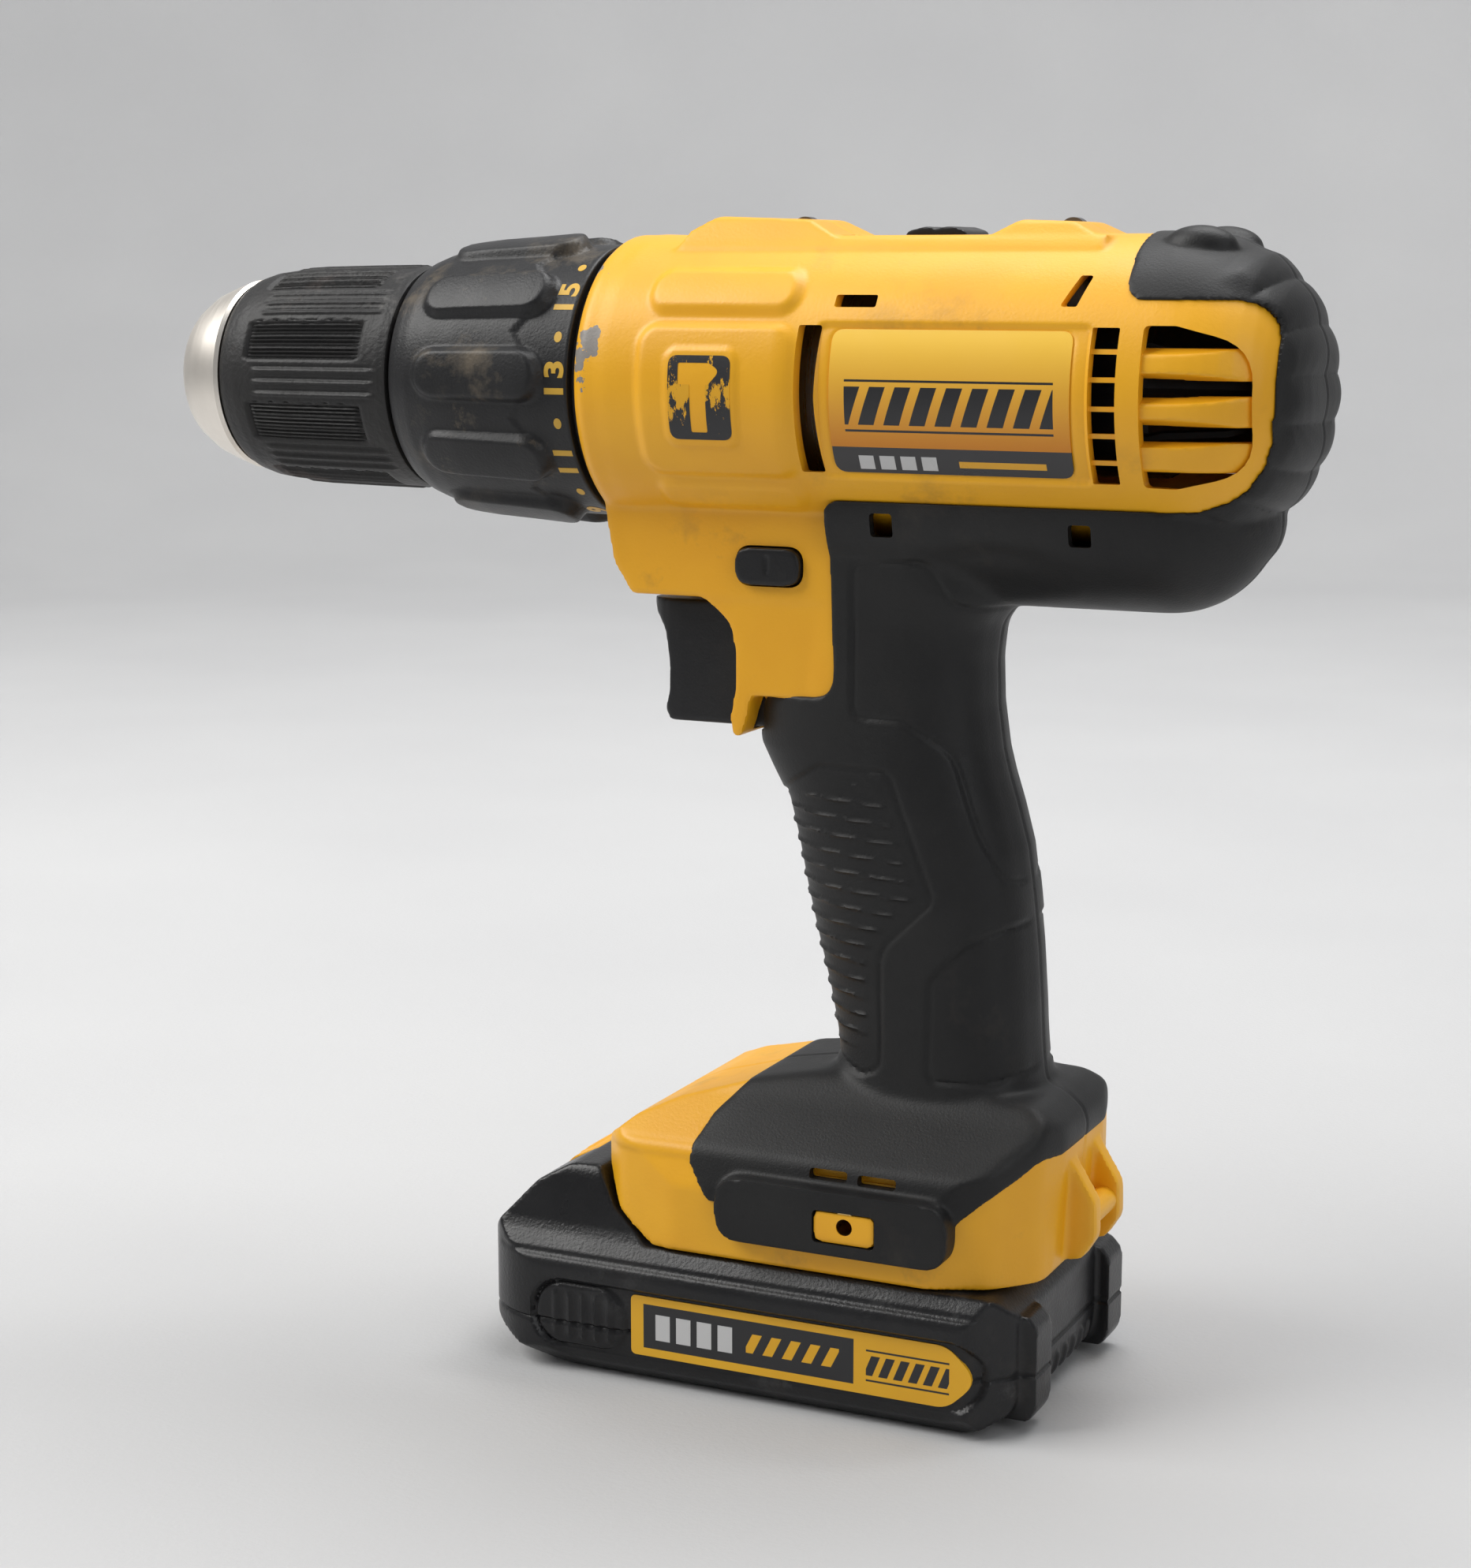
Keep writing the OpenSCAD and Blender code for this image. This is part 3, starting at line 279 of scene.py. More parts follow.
def joined(piece, *others):
    for other in others:
        combined(piece, other, "UNION")
    return piece


def kept_inside(piece, tool):
    return combined(piece, tool, "INTERSECT")


def cast(piece, pitch, rounds, factor=0.5):
    """Melts the edges of a form a little, as a mould's small radii do."""
    melt = piece.modifiers.new("melt", "REMESH")
    melt.mode = "VOXEL"
    melt.voxel_size = pitch * MM
    ease = piece.modifiers.new("ease", "SMOOTH")
    ease.factor = factor
    ease.iterations = rounds
    return baked(piece)


def surface(piece):
    mesh = piece.data
    places = np.zeros(len(mesh.vertices) * 3)
    mesh.vertices.foreach_get("co", places)
    facing = np.zeros(len(mesh.vertices) * 3)
    mesh.vertex_normals.foreach_get("vector", facing)
    return places.reshape(-1, 3) / MM, facing.reshape(-1, 3)


def pressed(piece, height):
    """Moves the surface outwards by height(x, y, z, facing), all in millimetres."""
    places, facing = surface(piece)
    rise = height(places[:, 0], places[:, 1], places[:, 2], facing)
    moved = (places + facing * rise[:, None]) * MM
    piece.data.vertices.foreach_set("co", moved.ravel())
    piece.data.update()
    return piece


def box_distance(u, v, u0, u1, v0, v1, radius):
    """Distance to a rounded rectangle, negative inside it."""
    du = np.abs(u - (u0 + u1) / 2) - (u1 - u0) / 2 + radius
    dv = np.abs(v - (v0 + v1) / 2) - (v1 - v0) / 2 + radius
    return np.hypot(np.maximum(du, 0), np.maximum(dv, 0)) + np.minimum(np.maximum(du, dv), 0) - radius


def outline_distance(u, v, points):
    """Distance to a closed outline of (u, v, radius), negative inside it."""
    line = [tuple(p) for p in rounded(points)]
    nearest = np.full(u.shape, 1e9)
    inside = np.zeros(u.shape, bool)
    for (au, av), (bu, bv) in zip(line, line[1:] + line[:1]):
        run_u, run_v = bu - au, bv - av
        t = np.clip(((u - au) * run_u + (v - av) * run_v) / max(run_u ** 2 + run_v ** 2, 1e-9), 0, 1)
        nearest = np.minimum(nearest, np.hypot(u - au - t * run_u, v - av - t * run_v))
        crosses = (av > v) != (bv > v)
        with np.errstate(divide="ignore", invalid="ignore"):
            inside ^= crosses & (u < run_u * (v - av) / (run_v if run_v else 1e-9) + au)
    return np.where(inside, -nearest, nearest)


def inside_share(distance, edge):
    """1 inside an outline and 0 outside it, turning over a soft edge."""
    t = np.clip(0.5 - distance / edge, 0, 1)
    return t * t * (3 - 2 * t)


def groove(distance, width):
    """1 on an outline and 0 a width away from it."""
    return np.clip(1 - (distance / width) ** 2, 0, 1)


def sawn(piece, name, room):
    """A copy of a closed form, kept only where it lies inside a room."""
    share = piece.copy()
    share.data = piece.data.copy()
    bpy.context.scene.collection.objects.link(share)
    kept_inside(share, room)
    share.name = share.data.name = name
    return share


def split_halves(piece, names):
    """Saws a closed form along the drill's middle plane into a left and a right half."""
    halves = [sawn(piece, name, plate("room", box_points(-200, 200, -50, 300, 0), low, high))
              for name, low, high in zip(names, (-80, 0), (0, 80))]
    scrapped(piece)
    return halves


def smooth_faces(piece, angle=40):
    piece.data.shade_smooth()
    piece.data.set_sharp_from_angle(angle=math.radians(angle))
    return piece


def fitted(piece, body, slot, material, *nodes):
    piece.data.materials.clear()
    piece.data.materials.append(material)
    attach(piece, body)
    if nodes:
        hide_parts(*nodes)
    return piece


dome_r = 24
dome_x = front_x + 117
rear_x = dome_x + dome_r
bulge_z = axis_z - 0.735 * barrel_r
bulge_r = barrel_r - 9
grip_z = axis_z - barrel_r - 12.5
nose_half = 16.5
root_z = foot_z + 33.7


def barrel(name, grow, start, end_r):
    """The round body with its domed rear end, grown or shrunk by grow."""
    profile = [(start, 0), (start, barrel_r - 2.6 + grow), (start + 0.8, barrel_r - 1.0 + grow),
               (start + 2.4, barrel_r + grow), (start + 8, barrel_r + 0.25 + grow),
               (start + 16, barrel_r + grow)]
    for step in range(13):
        turn = math.radians(90 * step / 12)
        profile.append((dome_x + (end_r + grow) * math.sin(turn),
                        barrel_r - end_r + (end_r + grow) * math.cos(turn)))
    profile.append((dome_x + end_r + grow, 0))
    return turned(name, profile, 160)


def motor_bulge(name, grow):
    """The belly under the motor, from behind the trigger to a round end."""
    r = bulge_r + grow
    profile = [(-12, 0), (-12, r - 3), (-9, r)]
    for step in range(13):
        turn = math.radians(90 * step / 12)
        profile.append((70 + r * math.sin(turn), r * math.cos(turn)))
    return turned(name, profile, 128, bulge_z)


def grip_rows(grow):
    rows = [(58, 5, 46.5, 17.4), (64, 4.8, 46.2, 17), (70, 4.4, 45.6, 16.6), (80, 2.4, 45, 16.4),
            (90, -0.2, 44.3, 16.6), (100, -2.6, 43.2, 17), (110, -4.6, 41.8, 17.3),
            (118, -6.6, 39.6, 17.4), (124, -10, 37.7, 17.4), (129, -12.6, 36.4, 17.4),
            (138, -13.2, 35.1, 17.3), (147, -13.2, 34.8, 17.1), (154, -13.2, 35.6, 17),
            (158, -13.2, 38.5, 17), (162, -13.2, 42, 17), (172, -13.2, 42, 17)]
    return [(z, front - grow, rear + grow, half + grow) for z, front, rear, half in rows]


def nose_block(name, grow):
    """The block between the barrel and the trigger that the switch sits behind."""
    half = nose_half + grow
    outline = [(-36.8, grip_z, 1.5), (12, grip_z, 1), (12, axis_z, 0), (-43.4, axis_z, 0),
               (-42.6, grip_z + 16, 3), (-40.6, grip_z + 6, 4)]
    block = plate(name, outline, -half, half)
    front = long_bar("nose_front", [(-half, grip_z - 5, 4), (half, grip_z - 5, 4), (half, axis_z, 0),
                                    (-half, axis_z, 0)], -60, 40)
    return kept_inside(block, front)


def foot_block(name, grow, half):
    """The flared foot that the pack slides on to."""
    g = grow
    side = [(-25, foot_z - g, 1), (54 + g, foot_z - g, 2), (54.5 + g, foot_z + 12, 4),
            (55 + g, foot_z + 22, 4), (55 + g, foot_z + 29 + g, 5), (50, root_z + g, 6),
            (5, root_z + 1.5 + g, 10), (-10, foot_z + 32.5 + g, 14), (-24, foot_z + 28.5 + g, 12),
            (-31.5 - g, foot_z + 25 + g, 4), (-38.8 - g, foot_z + 18.5 + g, 3),
            (-38.4 - g, foot_z + 13.5, 3), (-33.6 - g, foot_z + 6, 3)]
    w = half + g
    front = [(-w, foot_z - g, 1), (w, foot_z - g, 1), (w, foot_z + 14, 4), (w - 2.5, foot_z + 21.5, 6),
             (w - 14, foot_z + 30 + g, 14), (w - 20, root_z + 2 + g, 8), (20 - w, root_z + 2 + g, 8),
             (14 - w, foot_z + 30 + g, 14), (2.5 - w, foot_z + 21.5, 6), (-w, foot_z + 14, 4)]
    plan = [(-39 - g, 10 - w, 6), (-33, 3 - w, 8), (-20, -w, 10), (34, -w, 12), (46, 5 - w, 10),
            (53, 13 - w, 8), (55 + g, 22 - w, 6), (55 + g, w - 22, 6), (53, w - 13, 8),
            (46, w - 5, 10), (34, w, 12), (-20, w, 10), (-33, w - 3, 8), (-39 - g, w - 10, 6)]
    block = plate(name, side, -w - 5, w + 5)
    kept_inside(block, long_bar("foot_front", front, -60, 80))
    return kept_inside(block, floor_plate("foot_plan", plan, foot_z - 5, root_z + 8))


def widened(piece):
    """The rear end is squarer seen from above than seen from the side."""
    places, facing = surface(piece)
    t = np.clip((places[:, 0] - dome_x) / dome_r, 0, 1)
    places[:, 1] *= 1 + 0.25 * t * t
    piece.data.vertices.foreach_set("co", (places * MM).ravel())
    piece.data.update()
    return piece


def top_bump(name, side, half_low, half_top, top):
    """One of the two humps on top, at the ends of the speed slider's channel."""
    hump = plate(name, side, -20, 20)
    across = [(-half_low, axis_z + 15, 0), (half_low, axis_z + 15, 0),
              (half_low, axis_z + barrel_r - 3.5, 2), (half_top, axis_z + top, 3),
              (-half_top, axis_z + top, 3), (-half_low, axis_z + barrel_r - 3.5, 2)]
    return kept_inside(hump, long_bar("hump_front", across, -40, 70))


def lug_ear(y0, y1):
    return plate("lug_ear", [(46, 30, 1), (57.5, 30, 3), (60.6, 35, 4), (60.4, 42, 5),
                             (54.5, 51.5, 5), (46, 53, 1)], y0, y1)


def yellow_form():
    up = axis_z
    form = widened(barrel("housing", 0, front_x, dome_r))
    joined(form, nose_block("nose", 0))
    cheek = lofted("cheek", [row for row in grip_rows(-0.3) if row[0] >= 129])
    joined(form, kept_inside(cheek, plate("cheek_zone", box_points(-20, 11, 125, 175, 0), -30, 30)))
    joined(form, plate("guard", [(-26, 160, 0), (-20, 157.2, 3), (-15.2, 153.2, 6), (-13.9, 147, 10),
                                 (-13.9, 141, 10), (-15.1, 134.5, 3), (-14.8, 130.8, 1), (-12.8, 130.6, 1),
                                 (-11.6, 134, 2), (-10.6, 138.8, 1), (6, 139, 0), (6, 166, 0), (-26, 166, 0)], -16.3, 16.3))
    joined(form, foot_block("foot", 0, 33.6))
    ridge = long_bar("ridge", [(-13.5, up + 15, 0), (13.5, up + 15, 0), (13.5, up + 26.2, 2),
                               (11, up + barrel_r - 0.2, 3), (-11, up + barrel_r - 0.2, 3),
                               (-13.5, up + 26.2, 2)], -27, 59)
    joined(form, ridge)
    joined(form, top_bump("front_hump", [
        (-28, up + 15, 0), (5.5, up + 15, 0), (5.5, up + 28.3, 1), (-1.5, up + 31.9, 4),
        (-21.5, up + 32.6, 3), (-26.5, up + 29.8, 2), (-28, up + 27, 1)], 13.8, 8, 32.8))
    joined(form, top_bump("rear_hump", [
        (33.5, up + 15, 0), (59, up + 15, 0), (58, up + 28.2, 2), (52, up + 31.2, 4),
        (41, up + 31.6, 4), (35.5, up + 28.4, 2)], 13.8, 8, 31.8))
    joined(form, lug_ear(-9.5, -5.3))
    joined(form, lug_ear(5.3, 9.5))
    joined(form, plate("hook_boss_left", box_points(12, 24.7, 36, 42.2, 1.3), -36.2, -30))
    joined(form, plate("hook_boss_right", box_points(12, 24.7, 36, 42.2, 1.3), 30, 36.2))
    return cast(form, 0.6, 3)


def skin_outline():
    """The skin seen from the side, round the yellow cheek with its brush window."""
    return [(110, 240, 0), (66.5, 240, 0), (65.6, 228, 5), (66.6, 216.3, 4.5), (79, 216.4, 6),
            (93.6, 216.2, 18.5), (93.6, 178.2, 18.5), (40, 178.4, 5), (6.2, 178.4, 3.6),
            (6.7, 160, 10), (7.6, 139.7, 4.5), (-9.6, 139.4, 5), (-10.4, 131.2, 1), (-35, 131.2, 0),
            (-35, 66.5, 0), (-6, 66.5, 2), (-16.4, 54.4, 4), (-17, 47.4, 3), (-12, 40, 1),
            (38, 40, 1), (43.5, 45, 4), (52, 51.8, 4), (66, 53, 0), (110, 90, 0)]


def housing_relief(x, y, z, facing):
    """Raised pads, the label's recess and the seam of the two halves."""
    flank = inside_share(10 - np.abs(y), 4)
    on_barrel = flank * inside_share(172 - z, 3)
    panel = inside_share(box_distance(x, z, -28.8, 3.6, 183.2, 211.3, 4), 2.6)
    upper = inside_share(box_distance(x, z, -28.2, 2.6, 213.9, 221.4, 3.5), 2.4)
    lower = inside_share(box_distance(x, z, -27.5, 2.6, 176.6, 181.6, 2.4), 2.4)
    tile = inside_share(box_distance(x, z, -22.6, -7.5, 188.8, 206.8, 2.4), 1.0)
    label_bed = inside_share(box_distance(x, z, 8.3, 61.4, 183.2, 211.9, 1), 0.9)
    label_ring = inside_share(box_distance(x, z, 10.6, 58.4, 183.9, 211.2, 2.5), 0.7)
    slope_to_slot = inside_share(2.5 - x, 6)
    lip = np.clip(1 - np.abs(x - front_x - 3.2) / 2.2, 0, 1)
    rise = 1.15 * panel * (1 - 0.75 * slope_to_slot) + 1.2 * upper + 1.0 * lower + 0.45 * tile
    rise -= 0.7 * label_bed + 0.35 * label_ring
    seam = np.clip(1 - np.abs(y) / 0.7, 0, 1)
    foot_crease = 0.35 * groove(z - foot_z - 20.5, 1.5) * inside_share(x + 14, 4)
    under_skin = inside_share(outline_distance(x, z, skin_outline()) + 1.6, 1) * inside_share(z - 78, 4)
    rise = rise * on_barrel - 2.2 * under_skin * inside_share(45 - z, 2)
    return rise + 0.12 * lip - 0.35 * seam + foot_crease * inside_share(z - 60, 2)


def slot_ribs(side):
    ribs = None
    for rib_z in (207.3, 202.3, 197.1, 192.2, 187.3):
        rib = plate("rib", box_points(60.5, 68, rib_z - 0.45, rib_z + 0.45, 0), 15 * side, 40 * side)
        ribs = joined(ribs, rib) if ribs else rib
    shell = barrel("rib_outer", -1.4, front_x, dome_r)
    cut(shell, barrel("rib_inner", -3.2, front_x - 5, dome_r))
    return kept_inside(shell, ribs)


def grille_bars(side):
    """Three thick ridged bars across the D-shaped opening over the brushes."""
    bars = None
    for low, high in ((202.3, 208), (194.1, 199.6), (185.9, 191.4)):
        bar = long_bar("bar", [(14 * side, low, 0.5), (24 * side, low, 1), (29.2 * side, low + 1.7, 1),
                               (29.2 * side, high - 1.7, 1), (24 * side, high, 1), (14 * side, high, 0.5)],
                       69.4, 91)
        bars = joined(bars, bar) if bars else bar
    shell = widened(barrel("bar_outer", -0.6, front_x, dome_r))
    cut(shell, widened(barrel("bar_inner", -4.4, front_x - 5, dome_r)))
    return cast(kept_inside(shell, bars), 0.4, 3)


def cavity():
    inner = widened(barrel("cavity", -2.7, front_x - 4, dome_r))
    return inner


def cross_pin(name, x, z, r, y0, y1, count=32):
    bm = bmesh.new()
    turn = Matrix.Translation((x * MM, (y0 + y1) / 2 * MM, z * MM)) @ Matrix.Rotation(math.pi / 2, 4, "X")
    bmesh.ops.create_cone(bm, cap_ends=True, segments=count, radius1=r * MM, radius2=r * MM,
                          depth=abs(y1 - y0) * MM, matrix=turn)
    return grid_of(bm, name)


def plastic(name, colour, shade, roughness, dirt=None, dirt_share=0.5, grain=1500, depth=0.0001,
            gloss_spread=0.12, gloss=0.5, scuff=None, scuff_share=0.0):
    """A moulded plastic or rubber: blotchy colour, handling dirt, scuffs and a spark-eroded grain."""
    material = bpy.data.materials.new(name)
    material.use_nodes = True
    nodes = material.node_tree.nodes
    links = material.node_tree.links
    shader = nodes["Principled BSDF"]
    place = nodes.new("ShaderNodeTexCoord").outputs["Object"]

    def noise(scale, detail=3, rough=0.55):
        cloud = nodes.new("ShaderNodeTexNoise")
        cloud.inputs["Scale"].default_value = scale
        cloud.inputs["Detail"].default_value = detail
        cloud.inputs["Roughness"].default_value = rough
        links.new(place, cloud.inputs["Vector"])
        return cloud.outputs["Fac"]

    def ramp(source, low, high, first=0.0, last=1.0):
        curve = nodes.new("ShaderNodeMapRange")
        curve.inputs["From Min"].default_value = low
        curve.inputs["From Max"].default_value = high
        curve.inputs["To Min"].default_value = first
        curve.inputs["To Max"].default_value = last
        links.new(source, curve.inputs["Value"])
        return curve.outputs["Result"]

    def mixed(first, second, share):
        mix = nodes.new("ShaderNodeMix")
        mix.data_type = "RGBA"
        for socket, value in ((mix.inputs[6], first), (mix.inputs[7], second)):
            if isinstance(value, tuple):
                socket.default_value = (*value, 1)
            else:
                links.new(value, socket)
        links.new(share, mix.inputs[0])
        return mix.outputs[2]

    def times(first, second):
        product = nodes.new("ShaderNodeMath")
        product.operation = "MULTIPLY"
        for socket, value in zip(product.inputs, (first, second)):
            if isinstance(value, float):
                socket.default_value = value
            else:
                links.new(value, socket)
        return product.outputs[0]

    base = mixed(colour, shade, ramp(noise(35), 0.35, 0.7))
    if dirt:
        smudge = times(ramp(noise(55, 5, 0.7), 0.56, 0.74), ramp(noise(14, 2), 0.5, 0.62))
        base = mixed(base, dirt, times(smudge, dirt_share))
    if scuff:
        rub = times(ramp(noise(90, 6, 0.75), 0.55, 0.66), ramp(noise(22, 2), 0.54, 0.66))
        base = mixed(base, scuff, times(rub, scuff_share))
    links.new(base, shader.inputs["Base Color"])
    links.new(ramp(noise(60, 4), 0.3, 0.75, roughness - gloss_spread / 2, roughness + gloss_spread / 2),
              shader.inputs["Roughness"])
    shader.inputs["Specular IOR Level"].default_value = gloss
    bump = nodes.new("ShaderNodeBump")
    bump.inputs["Strength"].default_value = 0.6
    bump.inputs["Distance"].default_value = depth
    links.new(noise(grain, 2), bump.inputs["Height"])
    links.new(bump.outputs["Normal"], shader.inputs["Normal"])
    return material


def print_masks(material):
    """Helpers that build a print from bands of the Object coordinates, in millimetres."""
    nodes = material.node_tree.nodes
    links = material.node_tree.links
    apart = nodes.new("ShaderNodeSeparateXYZ")
    links.new(nodes.new("ShaderNodeTexCoord").outputs["Object"], apart.inputs[0])

    def maths(operation, *values):
        node = nodes.new("ShaderNodeMath")
        node.operation = operation
        for socket, value in zip(node.inputs, values):
            if isinstance(value, (int, float)):
                socket.default_value = value
            else:
                links.new(value, socket)
        return node.outputs[0]

    x = maths("MULTIPLY", apart.outputs[0], 1000)
    z = maths("MULTIPLY", apart.outputs[2], 1000)

    def band(value, low, high):
        return maths("COMPARE", value, (low + high) / 2, (high - low) / 2)

    def patch(x0, x1, z0, z1):
        return maths("MULTIPLY", band(x, x0, x1), band(z, z0, z1))

    def over(below, colour, mask):
        mix = nodes.new("ShaderNodeMix")
        mix.data_type = "RGBA"
        links.new(mask, mix.inputs[0])
        links.new(below, mix.inputs[6])
        mix.inputs[7].default_value = (*colour, 1)
        return mix.outputs[2]

    return x, z, maths, band, patch, over


def moulded_yellow():
    """Yellow nylon, rubbed bare and grey round the front lip."""
    material = plastic("yellow_nylon", (0.88, 0.44, 0.012), (0.82, 0.385, 0.009), 0.42,
                       dirt=(0.16, 0.09, 0.035), dirt_share=0.5, grain=1500, depth=0.00006)
    nodes = material.node_tree.nodes
    links = material.node_tree.links
    shader = nodes["Principled BSDF"]
    x, z, maths, band, patch, over = print_masks(material)
    chips = nodes.new("ShaderNodeTexNoise")
    chips.inputs["Scale"].default_value = 75
    chips.inputs["Detail"].default_value = 6
    chips.inputs["Roughness"].default_value = 0.6
    links.new(nodes.new("ShaderNodeTexCoord").outputs["Object"], chips.inputs["Vector"])
    near_lip = maths("MULTIPLY", maths("SUBTRACT", x, front_x + 1), 0.012)
    worn = maths("GREATER_THAN", maths("SUBTRACT", chips.outputs["Fac"], near_lip), 0.53)
    worn = maths("MULTIPLY", worn, patch(front_x - 2, front_x + 9, axis_z - 14, axis_z + 26))
    base = shader.inputs["Base Color"].links[0].from_socket
    links.new(over(base, (0.24, 0.22, 0.20), worn), shader.inputs["Base Color"])
    return material


yellow = moulded_yellow()


def vent_cutters(side):
    """Openings in one flank: intake slot, small windows, fan slots and the D over the brushes."""
    near, far = 13 * side, 45 * side
    low, high = min(near, far), max(near, far)
    yield plate("intake", [(4.0, 184, 0.5), (8.6, 184, 0.5), (8.0, 198, 14), (8.6, 211.6, 0.5),
                           (4.0, 211.6, 0.5)], low, high)
    for start in (9.4, 19.6):
        yield plate("foot_slot", box_points(start, start + 8, 47.1, 49.1, 0.8), 29 * side, 45 * side)
    yield plate("fan_slots", box_points(61.6, 66.8, 183.4, 211.6, 0.4), low, high)
    yield plate("window", box_points(10.3, 18.7, 214.9, 217.2, 0.5), low, high)
    yield plate("slant", [(54.6, 215.2, 0.5), (57.8, 215.2, 0.5), (59.6, 220.8, 0.5), (57.2, 220.8, 0.5)],
                low, high)
    yield plate("brush_window", [(71.2, 183, 1), (77, 182.8, 4), (90.6, 186, 14), (90.6, 208.5, 14),
                                 (77, 212, 4), (71.2, 212, 1)], low, high)


housing = yellow_form()
pressed(housing, housing_relief)
cut(housing, cavity())
cut(housing, plate("trigger_gap", [(-60, 131.4, 0), (-14, 131.4, 1), (-13.2, 140, 4), (-12.6, 147, 5),
                                   (-14.5, 155.5, 4), (-20, 158.6, 3), (-34, 159.2, 0), (-60, 159.2, 0)],
                   -10.9, 10.9))
cut(housing, plate("trigger_room", box_points(-40, 4, 131.4, 157.6, 2), -10.9, 10.9))
for flank in (-1, 1):
    cut(housing, *vent_cutters(flank))
    joined(housing, slot_ribs(flank), grille_bars(flank))
button_low, button_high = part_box("direction_button")
cut(housing, plate("button_gap", box_points(button_low.x / MM - 0.35, button_high.x / MM + 0.35,
                                            button_low.z / MM + 3.2, button_high.z / MM + 0.35, 3.4), -30, 30))
cut(housing, long_bar("channel", [(-7.6, axis_z + 28, 0.5), (7.6, axis_z + 28, 0.5), (7.6, axis_z + 50, 0),
                                  (-7.6, axis_z + 50, 0)], 4.5, 36))
cut(housing, long_bar("rail_room", [(-17.4, 20, 0), (17.4, 20, 0), (17.4, 30.8, 0), (20.4, 30.8, 0),
                                    (20.4, 36.8, 0), (-20.4, 36.8, 0), (-20.4, 30.8, 0),
                                    (-17.4, 30.8, 0)], -50, 48))
joined(housing, cross_pin("lug_bar", 57.4, 38.4, 2.7, -7, 7))
cut(housing, cross_pin("hook_hole", 18.5, 39.5, 1.7, -50, 50))
for half, side in zip(split_halves(housing, ("housing_left", "housing_right")), ("left", "right")):
    smooth_faces(half, 35)
    fitted(half, "housing", "yellow_plastic", yellow, f"{side}_housing")

# ---- Overmould: soft black skin on the rear, the handle and the foot --------
# Thermoplastic rubber moulded straight on to the nylon halves. It stands a
# little proud of the yellow, with panels, ribs and bumpers in its surface.


def soft_form(name, grow):
    form = widened(barrel(name, grow, front_x, dome_r))
    joined(form, motor_bulge("belly", grow))
    joined(form, lofted("grip", grip_rows(grow)))
    foot = foot_block("skin_foot", grow, 33.6)
    return joined(form, foot)


def hook_pad(side):
    """The pill-shaped pad on the foot's flank that takes a belt hook."""
    y0, y1 = (-36.4, -28) if side < 0 else (28, 36.4)
    return plate("hook_pad", box_points(-9.4, 39.6, 33.2, 46.2, 5.6), y0, y1)


def nub(side):
    bm = bmesh.new()
    bmesh.ops.create_uvsphere(bm, u_segments=32, v_segments=20, radius=1)
    bmesh.ops.scale(bm, vec=(7.2 * MM, 4.6 * MM, 4.2 * MM), verts=bm.verts)
    bmesh.ops.translate(bm, vec=(76 * MM, 8.6 * side * MM, (axis_z + 26.2) * MM), verts=bm.verts)
    return grid_of(bm, "nub")


ribbed_pad = [(4.6, 126.2, 3), (19.4, 126, 3.5), (28.8, 101, 3), (17.6, 90, 8), (17.8, 66, 3),
              (13.5, 64.4, 2), (4, 67, 2), (-14, 90, 0), (-18, 112, 0)]
palm_panel = [(11.3, 166.2, 2), (26.5, 166.8, 4), (31.5, 158, 6), (62, 156.5, 0), (62, 107, 0),
              (42, 103.6, 4), (36.5, 114, 8), (31, 130, 9), (22, 135.8, 6), (11.7, 136.2, 3)]
heel_panel = [(58, 99.5, 0), (42, 95.6, 3), (34.6, 92.6, 2), (27.9, 85, 3), (27.8, 64.8, 3),
              (41, 65.2, 4), (58, 71, 0)]


def skin_relief(x, y, z, facing):
    """Scallops round the rear, the handle's panels and its ribbed pad."""
    flank = inside_share(3.5 - np.abs(y), 5)
    reach = np.hypot(x - 68, z - axis_z + 1)
    turn = np.degrees(np.arctan2(z - axis_z + 1, x - 68))
    scallop = np.abs(np.cos(np.radians(turn * 180 / 17.0))) ** 0.8
    band = inside_share(21.5 - reach, 5) * inside_share(np.abs(turn) - 56, 8) * inside_share(71 - x, 6)
    rim = inside_share(np.abs(y) - 17.5, 5)
    rise = 0.75 * scallop * band * rim
    for outline in (ribbed_pad, palm_panel, heel_panel):
        distance = outline_distance(x, z, outline)
        rise -= flank * (0.35 * groove(distance, 0.75) + 0.3 * inside_share(distance, 0.9))
    pad = inside_share(outline_distance(x, z, ribbed_pad) + 3.2, 1.6) * flank
    pitch = 3.55
    along = (z + 0.07 * x - 67) / pitch
    ridge = np.clip(1 - np.abs(along - np.round(along)) * pitch / 0.55, 0, 1)
    rise += 0.5 * ridge * pad * inside_share(z - 124, 1) * inside_share(70 - z, 1)
    dent = inside_share(np.hypot((x - 40) / 13, (z - 165.5) / 5) - 1, 0.9) * flank
    rise -= 0.8 * dent
    seam = np.clip(1 - np.abs(y) / 0.7, 0, 1)
    return rise - 0.3 * seam


def eased(piece, share, rounds):
    """Softens the form where share(x, y, z) is above 0."""
    places, facing = surface(piece)
    weights = share(places[:, 0], places[:, 1], places[:, 2])
    group = piece.vertex_groups.new(name="soft")
    for level in range(1, 11):
        chosen = np.nonzero(np.round(weights * 10) == level)[0]
        group.add(chosen.tolist(), level / 10, "REPLACE")
    ease = piece.modifiers.new("ease", "SMOOTH")
    ease.factor = 0.5
    ease.iterations = rounds
    ease.vertex_group = "soft"
    baked(piece)
    piece.vertex_groups.clear()
    return piece


def skin_rubber():
    return plastic("skin_rubber", (0.010, 0.010, 0.0105), (0.016, 0.016, 0.016), 0.5,
                   dirt=(0.06, 0.05, 0.04), dirt_share=0.35, grain=2200, depth=0.00009, gloss=0.3)


